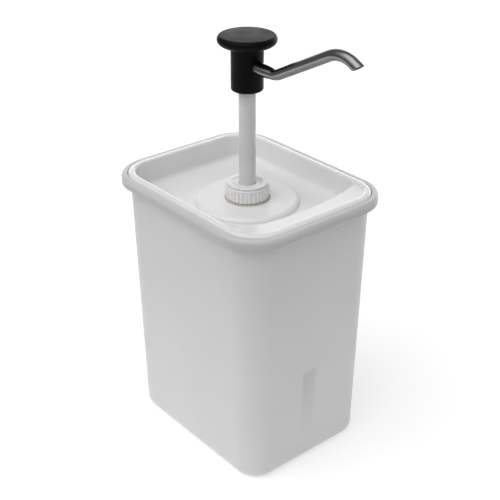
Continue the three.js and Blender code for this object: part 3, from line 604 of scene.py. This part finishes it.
BEAD_INSET = RIM_HALF_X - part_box("lid")[1][0] * 1000
RECESS_INSET = BEAD_INSET + BEAD_WIDTH
SHELF_EDGE_X = RIM_HALF_X - RECESS_INSET - SHELF_WIDTH


def plain_reach(angle, inset):
    return box_reach(angle, RIM_HALF_X - inset, RIM_HALF_Y - inset, RIM_CORNER - inset)


def recess_reach(angle, inset, inward):
    """The recess's edge, whose spout side is the bowed edge of the shelf."""
    centre = SHELF_EDGE_X - SHELF_EDGE_RADIUS
    radius = SHELF_EDGE_RADIUS - inward
    along = math.cos(angle) * centre
    bow = along + math.sqrt(along**2 - centre**2 + radius**2)
    return smooth_least(plain_reach(angle, inset + inward), bow, 5.0)


def recess_inset(z):
    return RECESS_INSET + LID_DRAFT * (LID_TOP - z)


def lid_outlines():
    """Rows of (reach, z), where reach(angle) is a distance from the pump's axis in millimetres."""
    rows = []

    def add(reach, z):
        rows.append((reach, z))

    def round_row(radius, z):
        add(lambda angle: radius, z)

    def between(share, first, second, z):
        add(lambda angle: first(angle) + (second(angle) - first(angle)) * share, z)

    boss_under = BOSS_Z - BOSS_WALL
    for radius, z in ((NECK_HOLE, boss_under + 0.3), (NECK_HOLE, BOSS_Z - 0.3), (NECK_HOLE + 0.3, BOSS_Z)):
        round_row(radius, z)
    for radius in (16, 22, 28, BOSS_RADIUS - BOSS_ROUND - 0.6):
        round_row(radius, BOSS_Z)
    boss_edge = (BOSS_RADIUS - BOSS_ROUND, BOSS_Z - BOSS_ROUND)
    for radius, z in arc(boss_edge, (BOSS_ROUND, BOSS_ROUND), 90, 0, 12):
        round_row(radius, z)
    for out, up in ((0, 0.5), (0.05, 0.25), (0.2, 0.06), (0.5, 0)):
        round_row(BOSS_RADIUS + out, TRAY_Z + up)

    def floor_edge(angle):
        return recess_reach(angle, recess_inset(TRAY_Z), RECESS_FILLET)

    for share in (0.02, 0.2, 0.5, 0.8, 0.97):
        between(share, lambda angle: BOSS_RADIUS + 0.5, floor_edge, TRAY_Z)
    for inward, up in arc((RECESS_FILLET, RECESS_FILLET), (RECESS_FILLET, RECESS_FILLET), 270, 180, 8):
        z = TRAY_Z + up
        add(lambda angle, z=z, d=inward: recess_reach(angle, recess_inset(z), d), z)
    shelf_in = LID_TOP - SHELF_DROP - 0.7
    for share in (0.25, 0.5, 0.75, 0.93):
        z = TRAY_Z + RECESS_FILLET + (shelf_in - 0.9 - TRAY_Z - RECESS_FILLET) * share
        add(lambda angle, z=z: recess_reach(angle, recess_inset(z), 0), z)

    def shelf_inner(angle):
        return recess_reach(angle, recess_inset(shelf_in), 0)

    def shelf_outer(angle):
        return plain_reach(angle, RECESS_INSET)

    for across, up in arc((1, 0), (1, 1), 180, 90, 5):
        between(across * 0.07, shelf_inner, shelf_outer, shelf_in - 0.9 + 0.9 * up)
    for share, rise in ((0.3, 0.2), (0.6, 0.45), (0.9, 0.68), (1.0, 0.8)):
        between(share, shelf_inner, shelf_outer, shelf_in + rise)
    bead_under = span("lid")[2] - (LID_TOP - SEAT_Z) + 0.2
    bead_radii = (BEAD_WIDTH - BEAD_CREST, BEAD_FALL)
    bead = rounded([
        (RECESS_INSET, shelf_in + 0.8),
        (RECESS_INSET, LID_TOP - 0.5, 0.6),
        (RECESS_INSET - BEAD_CREST, LID_TOP, 1.2),
        *arc((RECESS_INSET - BEAD_CREST, LID_TOP - BEAD_FALL), bead_radii, 100, 180, 9),
        (BEAD_INSET, bead_under, 0.3),
        (RECESS_INSET - LID_WALL, bead_under),
    ], closed=False, steps=6)
    for inset, z in bead[1:]:
        add(lambda angle, inset=inset: plain_reach(angle, inset), z)

    def under_edge(angle):
        return recess_reach(angle, RECESS_INSET - LID_WALL, 0) + shelf_gap(angle)

    def shelf_gap(angle):
        plain = plain_reach(angle, RECESS_INSET - LID_WALL)
        wall = recess_reach(angle, RECESS_INSET, 0) + LID_WALL
        return min(wall, plain) - recess_reach(angle, RECESS_INSET - LID_WALL, 0)

    outer = RECESS_FILLET + LID_WALL
    tray_under = TRAY_Z - LID_FLOOR
    for share in (0.5, 0.97, 1.0):
        between(share, lambda a: plain_reach(a, RECESS_INSET - LID_WALL), under_edge, bead_under)
    for share in (0.03, 0.3, 0.6, 1.0):
        z = bead_under + (tray_under + outer - bead_under) * share
        drift = LID_DRAFT * (LID_TOP - z)
        add(lambda angle, drift=drift: under_edge(angle) - drift, z)
    for inward, up in arc((outer, outer), (outer, outer), 180, 270, 8):
        z = tray_under + up
        add(lambda angle, d=inward: under_edge(angle) - LID_DRAFT * (LID_TOP - tray_under) - d, z)
    under_floor = rows[-1][0]
    hollow = BOSS_RADIUS - BOSS_RIM
    for share in (0.3, 0.7, 0.98):
        between(share, under_floor, lambda angle: hollow, tray_under)
    for radius, z in (
        (hollow, tray_under + 0.3),
        (hollow, boss_under - 0.3),
        (hollow - 0.3, boss_under),
        (22, boss_under),
        (NECK_HOLE + 0.3, boss_under),
    ):
        round_row(radius, z)
    return rows


def make_lid():
    sides = 320
    outlines = []
    for reach, z in lid_outlines():
        angles = [TAU * j / sides for j in range(sides)]
        outlines.append([(reach(a) * math.cos(a), reach(a) * math.sin(a), z) for a in angles])
    piece = skin("lid_tray", outlines, closed=True)
    return finish_piece(piece, "lid_unit", "lid", "lid_plastic")


# ------------------------------------------------------------------ collar, barrel and foot valve

def make_gasket(node, inner, squeeze=0.0):
    """A flat washer, whose outside may lie a little inside its node's."""
    radius, bottom, top = span(node)
    piece = ring_piece(f"{node}_ring", inner, radius - squeeze, bottom, top, 0.2)
    return finish_piece(piece, "lid_unit", node, "silicone")


def make_collar_nut():
    radius, bottom, top = span("collar_nut")
    ribs_top = top - NUT_BAND
    bore = BARREL_RADIUS + 0.25

    def ribbed(angle, r, z):
        if r < radius - 0.01:
            return r
        crest = 0.5 + 0.5 * math.cos(angle * RIB_COUNT)
        crest = min(max((crest - 0.25) / 0.4, 0), 1)
        crest = crest * crest * (3 - 2 * crest)
        fade = min(max((ribs_top - z) / 0.7, 0), 1) * min(max((z - bottom) / 0.5, 0), 1)
        depth = RIB_DEPTH * (1 - crest * fade)
        return r - depth

    heights = [0.15, 0.35, 0.6, 1.2, 3, 5, 7, 7.6, 7.9, 8.1]
    band = radius - RIB_DEPTH / 2
    profile = [
        (bore, bottom + 0.3),
        (bore + 0.3, bottom),
        (radius - RIB_DEPTH - 0.3, bottom),
        (radius - RIB_DEPTH, bottom + 0.1),
        *[(radius, bottom + h) for h in heights if bottom + h < ribs_top],
        *rounded([
            (band - 0.3, ribs_top + 0.02),
            (band, ribs_top + 0.1, 0.1),
            (band, top, 0.8),
            (BORE_RADIUS + 0.2, top, 0.2),
            (BORE_RADIUS + 0.2, top - 1.4, 0.2),
            (bore, top - 1.4),
        ], closed=False)[1:],
    ]
    piece = turn("collar_nut_body", profile, sides=RIB_COUNT * 14, ripple=ribbed)
    return finish_piece(piece, "lid_unit", "collar_nut", "collar_plastic")


def make_collar_cap():
    radius, bottom, top = span("collar_cap")
    nut_top = span("collar_nut")[2]
    hub, bore = BORE_RADIUS - 0.2, STEM_RADIUS + 0.25
    wiper_seat = bore + 2.6
    wiper_top = span("stem_wiper")[2] + 0.2
    disc_z = nut_top + 0.2
    piece = turn("collar_cap_body", rounded([
        (wiper_seat, bottom, 0.2),
        (hub, bottom, 0.5),
        (hub, disc_z, 0.2),
        (radius - 0.5, disc_z, 0.1),
        (radius, disc_z + 0.4, 0.15),
        (radius, top - 0.12, 0.45),
        (radius - 3.2, top, 0.3),
        (radius - 3.6, top - 0.5, 0.3),
        (bore, top - 0.5, 0.3),
        (bore, wiper_top, 0.1),
        (wiper_seat, wiper_top, 0.1),
    ]), sides=128)
    finish_piece(piece, "lid_unit", "collar_cap", "collar_plastic")
    marks = []
    for start in (18, 198):
        for i in range(MARKS_PER_SIDE):
            marks.append(start + MARKS_SPREAD * i / (MARKS_PER_SIDE - 1))
    for i, angle in enumerate(marks):
        outer = MARK_OUTER + MARK_STEP * (i % 3)
        add_mark(f"cap_mark_{i}", angle, MARK_INNER, outer, top - MARK_SINK)


def add_mark(name, degrees, inner, outer, z):
    """One short raised bar of the cap's plain radial pattern."""
    angle = math.radians(degrees)
    along = Vector((math.cos(angle), math.sin(angle), 0))
    across = Vector((-along.y, along.x, 0))
    outlines = []
    section = ((-1, 0), (1, 0), (1, 0.6), (0.6, 1), (-0.6, 1), (-1, 0.6))
    for reach, width, height in (
        (inner, 0.15, 0.1),
        (inner + 0.15, 0.38, 0.45),
        (outer - 0.15, 0.45, 0.45),
        (outer, 0.2, 0.1),
    ):
        points = []
        for side, up in section:
            lift = Vector((0, 0, z + up * height))
            points.append(tuple(along * reach + across * side * width + lift))
        outlines.append(points)
    bar = skin(name, outlines)
    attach(bar, "lid_unit")
    bar.data.materials.append(MATERIALS["collar_plastic"])


def make_stem_wiper():
    _, bottom, top = span("stem_wiper")
    lip, back = STEM_RADIUS + 0.1, STEM_RADIUS + 2.65
    piece = turn("stem_wiper_ring", rounded([
        (lip + 0.6, bottom, 0.1),
        (back, bottom, 0.3),
        (back, top, 0.3),
        (lip + 0.9, top, 0.1),
        (lip, top - 0.6, 0.15),
        (lip + 0.5, top - 1.4, 0.3),
    ]))
    return finish_piece(piece, "lid_unit", "stem_wiper", "silicone")


def make_pump_barrel():
    radius, bottom, top = span("pump_barrel")
    flange_top = span("flange_gasket")[1] - 0.2
    flange_low = flange_top - 2.1
    piece = turn("pump_barrel_body", rounded([
        (BORE_RADIUS, bottom, 0.3),
        (BARREL_RADIUS, bottom, 0.3),
        (BARREL_RADIUS, flange_low, 1.2),
        (radius, flange_low, 0.4),
        (radius, flange_top, 0.4),
        (BARREL_RADIUS, flange_top, 0.3),
        (BARREL_RADIUS, top, 0.4),
        (BORE_RADIUS, top, 0.4),
    ], steps=5))
    return finish_piece(piece, "lid_unit", "pump_barrel", "pump_plastic")


def make_foot_valve():
    radius, bottom, top = span("foot_valve")
    cup_floor = span("foot_valve_washer")[1] - 0.2
    underside = cup_floor - 2.5

    def fluted(angle, r, z):
        if r < radius - 0.05 or z < underside + 1.5 or z > top - 1.0:
            return r
        return r - 0.5 * max(0, math.cos(angle * 12)) ** 4

    grip = [(radius, underside + 1.6 + i) for i in range(10)]
    lower = rounded([
        (3.4, bottom, 0.3),
        (4.2, bottom, 0.3),
        (5.0, bottom + 2, 0.5),
        (5.0, bottom + 3.6),
        (5.0, underside, 1.0),
        (radius - 1.2, underside, 0.6),
        (radius, underside + 1.2),
    ], closed=False)
    upper = rounded([
        (radius, top - 0.8),
        (radius, top, 0.4),
        (BARREL_RADIUS + 0.2, top, 0.4),
        (BARREL_RADIUS + 0.2, cup_floor, 0.3),
        (3.4, cup_floor, 0.2),
        (3.4, bottom + 1),
    ], closed=False)
    piece = turn("foot_valve_body", lower + grip + upper, sides=144, ripple=fluted)
    return finish_piece(piece, "lid_unit", "foot_valve", "pump_plastic")


def make_dip_tube():
    radius, bottom, top = span("dip_tube")
    slant = math.tan(math.radians(DIP_TUBE_SLANT))
    tip_top = bottom + DIP_TUBE_TIP

    def cut(x, z):
        return max(z, bottom + (radius - x) * slant) if z < tip_top else z

    inner = radius - DIP_TUBE_WALL
    inside = rounded([(inner, top, 0.3), (inner, tip_top), (inner, bottom, 0.01)], closed=False)
    outside = rounded([(radius, bottom, 0.01), (radius, tip_top), (radius, top, 0.4)], closed=False)
    piece = turn("dip_tube_body", inside + outside, shear=cut)
    return finish_piece(piece, "lid_unit", "dip_tube", "tube_plastic")


def make_return_spring():
    _, bottom, top = span("return_spring")
    low, high = bottom + SPRING_WIRE_RADIUS, top - SPRING_WIRE_RADIUS
    closed = SPRING_END_RISE * SPRING_WIRE_RADIUS
    steps = 44

    def height(turns):
        spread = min(max((turns - 1) / (SPRING_COILS - 2), 0), 1)
        ends = min(turns, 1) + max(turns - SPRING_COILS + 1, 0)
        return low + closed * ends + (high - low - 2 * closed) * spread

    def radial(i):
        angle = TAU * i / steps
        return Vector((math.cos(angle), math.sin(angle), 0))

    path = []
    for i in range(SPRING_COILS * steps + 1):
        point = radial(i) * SPRING_RADIUS
        point.z = height(i / steps)
        path.append(point)
    piece = sweep("return_spring_wire", path, lambda i: SPRING_WIRE_RADIUS, radial, 12)
    finish_piece(piece, "lid_unit", "return_spring", "spring_steel")
    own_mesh(piece)
    return piece


def make_ball(node, body):
    radius, bottom, top = span(node)
    low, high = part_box(node)
    centre, radius = (bottom + top) / 2, (high[0] - low[0]) * 500
    profile = arc((0, centre), (radius, radius), -90, 90, 28)
    piece = turn(f"{node}_sphere", profile, closed=False, sides=56)
    return finish_piece(piece, body, node, "ball_steel")


# ------------------------------------------------------------------ plunger and head

def make_stem():
    _, bottom, top = span("stem")
    head_bottom = span("pump_head")[1]
    line = STEM_RADIUS - STEM_LINE_DEPTH
    piece = turn("stem_tube", rounded([
        (STEM_BORE, bottom, 0.3),
        (STEM_RADIUS, bottom, 0.4),
        (STEM_RADIUS, bottom + 30),
        (STEM_RADIUS, head_bottom - 2.2, 0.2),
        (line, head_bottom - 2.0, 0.1),
        (line, head_bottom - 1.7, 0.1),
        (STEM_RADIUS, head_bottom - 1.5, 0.2),
        (STEM_RADIUS, top, 0.4),
        (STEM_BORE, top, 0.3),
    ]))
    return finish_piece(piece, "plunger", "stem", "stem_plastic")


def make_piston():
    radius, bottom, top = span("piston")
    seals = [span("piston_seal_lower"), span("piston_seal_upper")]
    seat = span("outlet_ball")[1] + 0.86
    socket = span("stem")[1] - 0.2
    back = radius - 1.9
    profile = [(2.6, bottom, 0.2), (radius, bottom, 0.6)]
    for _, low, high in seals:
        profile += [(radius, low - 0.2, 0.1), (back, low - 0.2, 0.2)]
        profile += [(back, high + 0.2, 0.2), (radius, high + 0.2, 0.1)]
    profile += [
        (radius, top, 0.4),
        (STEM_RADIUS + 0.2, top, 0.2),
        (STEM_RADIUS + 0.2, socket, 0.2),
        (5.2, socket, 0.2),
        (5.2, seat, 0.3),
        (2.6, seat),
    ]
    piece = turn("piston_body", rounded(profile))
    pin_z = sum(span("outlet_stop_pin")[1:]) / 2
    cutter = turn("pin_hole", [(0, -14), (0.95, -14), (0.95, 14), (0, 14)], closed=False, sides=24)
    subtract(piece, lie_along(cutter, "Y", (0, 0, pin_z)))
    return finish_piece(piece, "plunger", "piston", "pump_plastic")


def make_piston_seal(node, faces_down):
    radius, bottom, top = span(node)
    height, back = top - bottom, radius - 2.0

    def place(point):
        across, up, rounding = point
        return (across, bottom + up if faces_down else top - up, rounding)

    corners = [
        (back, 0, 0.1),
        (back + 0.5, 0, 0.15),
        (back + 0.9, 1.3, 0.3),
        (radius - 0.5, 0, 0.1),
        (radius, 0.5, 0.15),
        (radius - 0.25, height, 0.2),
        (back, height, 0.2),
    ]
    piece = turn(f"{node}_cup", rounded([place(c) for c in corners]))
    return finish_piece(piece, "plunger", node, "seal_rubber")


def make_stop_pin():
    low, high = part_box("outlet_stop_pin")
    half = high[1] * 1000
    centre_z = (low[2] + high[2]) * 500
    radius = high[0] * 1000
    profile = rounded([(0, -half), (radius, -half, 0.3), (radius, half, 0.3), (0, half)], closed=False)
    pin = turn("outlet_stop_pin_rod", profile, closed=False, sides=40)
    lie_along(pin, "Y", (0, 0, centre_z))
    return finish_piece(pin, "plunger", "outlet_stop_pin", "ball_steel")


def make_oring(node, body, axis):
    low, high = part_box(node)
    outer = (high[1] - low[1]) * 500
    middle = (low[2] + high[2]) * 500 if axis == "Z" else 0
    section = (ORING_SECTION, ORING_SECTION)
    circle = arc((outer - ORING_SECTION, middle), section, 0, 360, 20)[:-1]
    piece = turn(f"{node}_ring", circle, sides=64)
    if axis == "X":
        lie_along(piece, "X", ((low[0] + high[0]) * 500, 0, SPOUT_Z))
    return finish_piece(piece, body, node, "seal_rubber")


def make_pump_head():
    knob, bottom, top = span("pump_head")
    shank_top = top - KNOB_HEIGHT
    widest = top - KNOB_TOP_HEIGHT
    socket_top = bottom + 11.5
    socket = STEM_RADIUS + 0.2
    groove = STEM_RADIUS + 2.0
    ring_z = sum(span("stem_oring")[1:]) / 2
    inside = rounded([
        (0, SPOUT_Z),
        (STEM_BORE, SPOUT_Z, 0.3),
        (STEM_BORE, socket_top, 0.2),
        (socket, socket_top, 0.2),
        (socket, ring_z + 1.0, 0.1),
        (groove, ring_z + 1.0, 0.1),
        (groove, ring_z - 1.0, 0.1),
        (socket, ring_z - 1.0, 0.1),
        (socket, bottom, 0.4),
        (HEAD_RADIUS, bottom, 1.4),
        (HEAD_RADIUS, bottom + 12),
        (HEAD_RADIUS, shank_top - 1),
    ], closed=False)
    under = [
        (
            HEAD_RADIUS + (knob - HEAD_RADIUS) * max(across, 0) ** (2 / KNOB_FULLNESS),
            widest - (widest - shank_top) * max(down, 0) ** (2 / KNOB_FULLNESS),
        )
        for across, down in arc((0, 0), (1, 1), 90, 0, 18)
    ]
    edge_height = KNOB_TOP_HEIGHT - KNOB_CROWN
    shoulder = arc((knob - KNOB_TOP_EDGE, widest), (KNOB_TOP_EDGE, edge_height), 0, 90, 14)
    flat = knob - KNOB_TOP_EDGE
    crown = [(flat * share, top - KNOB_CROWN * share**2) for share in (0.9, 0.75, 0.5, 0.25, 0)]
    profile = inside + under[1:] + shoulder[1:] + crown
    piece = turn("pump_head_body", profile, closed=False, sides=144, sharp_degrees=50)
    cutter = turn("spout_socket", rounded([
        (0, 2.8), (4.7, 2.8), (4.7, 7.2), (6.5, 7.2), (6.5, 9.2), (4.7, 9.2), (4.7, 13.2), (0, 13.2),
    ], closed=False), closed=False, sides=64)
    subtract(piece, lie_along(cutter, "X", (0, 0, SPOUT_Z)))
    return finish_piece(piece, "head", "pump_head", "black_plastic")


def bent_path(corners, bend_radii, steps):
    """Points along straight runs that are joined by round bends."""
    points = [corners[0]]
    for i, bend in enumerate(bend_radii):
        before, corner, after = corners[i:i + 3]
        back, onward = (before - corner).normalized(), (after - corner).normalized()
        half = back.angle(onward) / 2
        centre = corner + (back + onward).normalized() * bend / math.sin(half)
        start = corner + back * bend / math.tan(half) - centre
        end = corner + onward * bend / math.tan(half) - centre
        whole = start.angle(end)
        for k in range(steps + 1):
            share = k / steps
            arm = start * math.sin((1 - share) * whole) + end * math.sin(share * whole)
            points.append(centre + arm / math.sin(whole))
    points.append(corners[-1])
    return points


def make_spout_tube():
    start_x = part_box("spout_tube")[0][0] * 1000
    low_bend = Vector((29.7, 0, SPOUT_Z))
    high_bend = low_bend + Vector((58.8, 0, 30.4))
    outlet = high_bend + Vector((14.6, 0, -7.1))
    root_end, swage = 17.0, 12.0
    path = bent_path([Vector((start_x, 0, SPOUT_Z)), low_bend, high_bend, outlet], [14, 24], 20)
    straight = [Vector((x, 0, SPOUT_Z)) for x in (8, 12, root_end, 19, 21, 23)]
    path[1:1] = [p for p in straight if p.x < path[1].x - 0.5]
    arm_start = next(i for i, p in enumerate(path) if p.x > 35)
    arm = [path[arm_start - 1].lerp(path[arm_start], k / 8) for k in range(1, 8)]
    path[arm_start:arm_start] = arm
    cut_normal = Vector((math.sin(math.radians(35)), 0, -math.cos(math.radians(35))))

    def outer_radius(i):
        narrowed = min(max((path[i].x - root_end) / swage, 0), 1)
        narrowed = narrowed * narrowed * (3 - 2 * narrowed)
        pinch = 0.12 * math.exp(-(((path[i].x - low_bend.x) / 5) ** 2))
        pinch += 0.1 * math.exp(-(((path[i].x - high_bend.x) / 12) ** 2))
        return SPOUT_ROOT_RADIUS + (SPOUT_RADIUS - SPOUT_ROOT_RADIUS) * narrowed - pinch

    def sideways(i):
        return Vector((0, 1, 0))

    outside = bar_outlines(path, outer_radius, sideways, 40)
    inside = bar_outlines(path, lambda i: outer_radius(i) - SPOUT_WALL, sideways, 40)
    direction = (path[-1] - path[-2]).normalized()

    def cut(outline, back):
        """Slides an outline's points along the tube to its slanted mouth."""
        moved = []
        for point in outline:
            p = Vector(point)
            shift = (outlet - p).dot(cut_normal) / direction.dot(cut_normal) - back
            moved.append(tuple(p + direction * shift))
        return moved

    rows = outside[:-2] + [cut(outside[-1], 0.25)]
    rim = bar_outlines(path, lambda i: outer_radius(i) - 0.15, sideways, 40)[-1]
    lip = bar_outlines(path, lambda i: outer_radius(i) - SPOUT_WALL + 0.15, sideways, 40)[-1]
    rows += [cut(rim, 0), cut(lip, 0), cut(inside[-1], 0.25)]
    rows += inside[:-2][::-1]
    piece = skin("spout_tube_body", rows, closed=True)
    return finish_piece(piece, "head", "spout_tube", "spout_steel")


# ------------------------------------------------------------------ putting it together

def finish_piece(piece, body, node, slot):
    """Makes a piece ride on a body, stand for a CAD node and wear its material."""
    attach(piece, body)
    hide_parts(node)
    piece.data.materials.clear()
    piece.data.materials.append(MATERIALS[slot])
    return piece


MATERIALS = {
    "tub_plastic": tub_plastic(),
    "lid_plastic": lid_plastic(),
    "collar_plastic": white_moulding("collar_plastic", 0.24, 0.86),
    "stem_plastic": white_moulding("stem_plastic", 0.16, 0.72),
    "pump_plastic": clear_moulding("pump_plastic"),
    "tube_plastic": clear_moulding("tube_plastic"),
    "black_plastic": black_plastic(),
    "silicone": rubber("silicone", (0.60, 0.54, 0.44), (0.52, 0.47, 0.38)),
    "seal_rubber": rubber("seal_rubber", grey(0.02), grey(0.03)),
    "spout_steel": polished_steel("spout_steel"),
    "spring_steel": polished_steel("spring_steel", 0.42, (1, 1, 0.3)),
    "ball_steel": polished_steel("ball_steel", 0.55, (1, 1, 1)),
}


def add_camera():
    azimuth, elevation = math.radians(CAMERA_AZIMUTH), math.radians(CAMERA_ELEVATION)
    back = Vector((
        math.sin(azimuth) * math.cos(elevation),
        -math.cos(azimuth) * math.cos(elevation),
        math.sin(elevation),
    ))
    data = bpy.data.cameras.new("camera")
    data.lens = CAMERA_LENS
    data.sensor_width = 36
    camera = bpy.data.objects.new("camera", data)
    camera.location = CAMERA_TARGET + back * CAMERA_DISTANCE
    camera.rotation_mode = "QUATERNION"
    camera.rotation_quaternion = (-back).to_track_quat("-Z", "Y")
    bpy.context.scene.collection.objects.link(camera)
    bpy.context.scene.camera = camera


def add_floor():
    """A plain pale floor that glows a little, so that it stays white round the object."""
    mesh = bpy.data.meshes.new("floor")
    corners = [
        (-PAPER_HALF_WIDTH, PAPER_FRONT, 0),
        (PAPER_HALF_WIDTH, PAPER_FRONT, 0),
        (PAPER_HALF_WIDTH, PAPER_BACK, 0),
        (-PAPER_HALF_WIDTH, PAPER_BACK, 0),
    ]
    mesh.from_pydata(corners, [], [(0, 1, 2, 3)])
    floor = bpy.data.objects.new("floor", mesh)
    floor.location.z = -0.0001
    floor.rotation_euler.z = math.radians(CAMERA_AZIMUTH)
    bpy.context.scene.collection.objects.link(floor)
    paper = Surface("floor_paper", 0.9, specular=0.0)
    paper.colour(grey(0.86), grey(0.84), paper.noise(3))
    paper.shader.inputs["Emission Color"].default_value = (1, 1, 1, 1)
    paper.shader.inputs["Emission Strength"].default_value = PAPER_GLOW
    mesh.materials.append(paper.material)


def add_world():
    """A white backdrop behind the object, soft lights round and above it, and a dim room."""
    world = bpy.data.worlds.new("studio")
    bpy.context.scene.world = world
    world.use_nodes = True
    nodes, links = world.node_tree.nodes, world.node_tree.links
    place = nodes.new("ShaderNodeTexCoord").outputs["Generated"]

    def toward(direction, low, high):
        """From 0 to 1 as the view turns towards a direction."""
        dot = nodes.new("ShaderNodeVectorMath")
        dot.operation = "DOT_PRODUCT"
        dot.inputs[1].default_value = direction
        links.new(place, dot.inputs[0])
        ramp = nodes.new("ShaderNodeMapRange")
        ramp.interpolation_type = "SMOOTHSTEP"
        for socket, number in {"From Min": low, "From Max": high}.items():
            ramp.inputs[socket].default_value = number
        links.new(dot.outputs["Value"], ramp.inputs["Value"])
        return ramp.outputs["Result"]

    def maths(operation, first, second):
        node = nodes.new("ShaderNodeMath")
        node.operation = operation
        for socket, value in zip(node.inputs, (first, second)):
            if isinstance(value, float):
                socket.default_value = value
            else:
                links.new(value, socket)
        return node.outputs["Value"]

    backdrop = maths("MULTIPLY", toward(BACKDROP_SIDE, *BACKDROP_RAMP), toward((0, 0, -1), *BACKDROP_TOP))
    key = maths("MULTIPLY", toward(KEY_SIDE, *KEY_RAMP), KEY_LIGHT)
    overhead = maths("MULTIPLY", toward(OVERHEAD_SIDE, *OVERHEAD_RAMP), OVERHEAD_LIGHT)
    fill = maths("MULTIPLY", toward(FILL_SIDE, *FILL_RAMP), FILL_LIGHT)
    boxes = maths("ADD", maths("ADD", key, overhead), fill)
    light = maths("ADD", maths("MULTIPLY", backdrop, BACKDROP_LIGHT), maths("ADD", boxes, ROOM_LIGHT))
    links.new(light, nodes["Background"].inputs["Strength"])
    nodes["Background"].inputs["Color"].default_value = (1, 1, 1, 1)
    bpy.context.scene.view_settings.view_transform = "Standard"


def carry_over(node, slot):
    """Shows a CAD node as it is, in a finished material."""
    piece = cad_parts[node]
    piece.data.materials.clear()
    piece.data.materials.append(MATERIALS[slot])


add_camera()
make_container()
make_lid()
make_gasket("base_gasket", BARREL_RADIUS + 0.2, GASKET_SQUEEZE)
make_gasket("flange_gasket", BARREL_RADIUS + 0.2)
make_collar_nut()
make_collar_cap()
make_stem_wiper()
make_pump_barrel()
make_foot_valve()
make_gasket("foot_valve_washer", 9.0)
carry_over("inlet_ball_cage", "pump_plastic")
make_ball("inlet_ball", "inlet_valve")
make_dip_tube()
make_return_spring()
make_stem()
make_piston()
make_piston_seal("piston_seal_lower", True)
make_piston_seal("piston_seal_upper", False)
make_ball("outlet_ball", "outlet_valve")
make_stop_pin()
make_pump_head()
make_oring("stem_oring", "plunger", "Z")
make_oring("spout_oring", "head", "X")
make_spout_tube()
add_floor()
add_world()
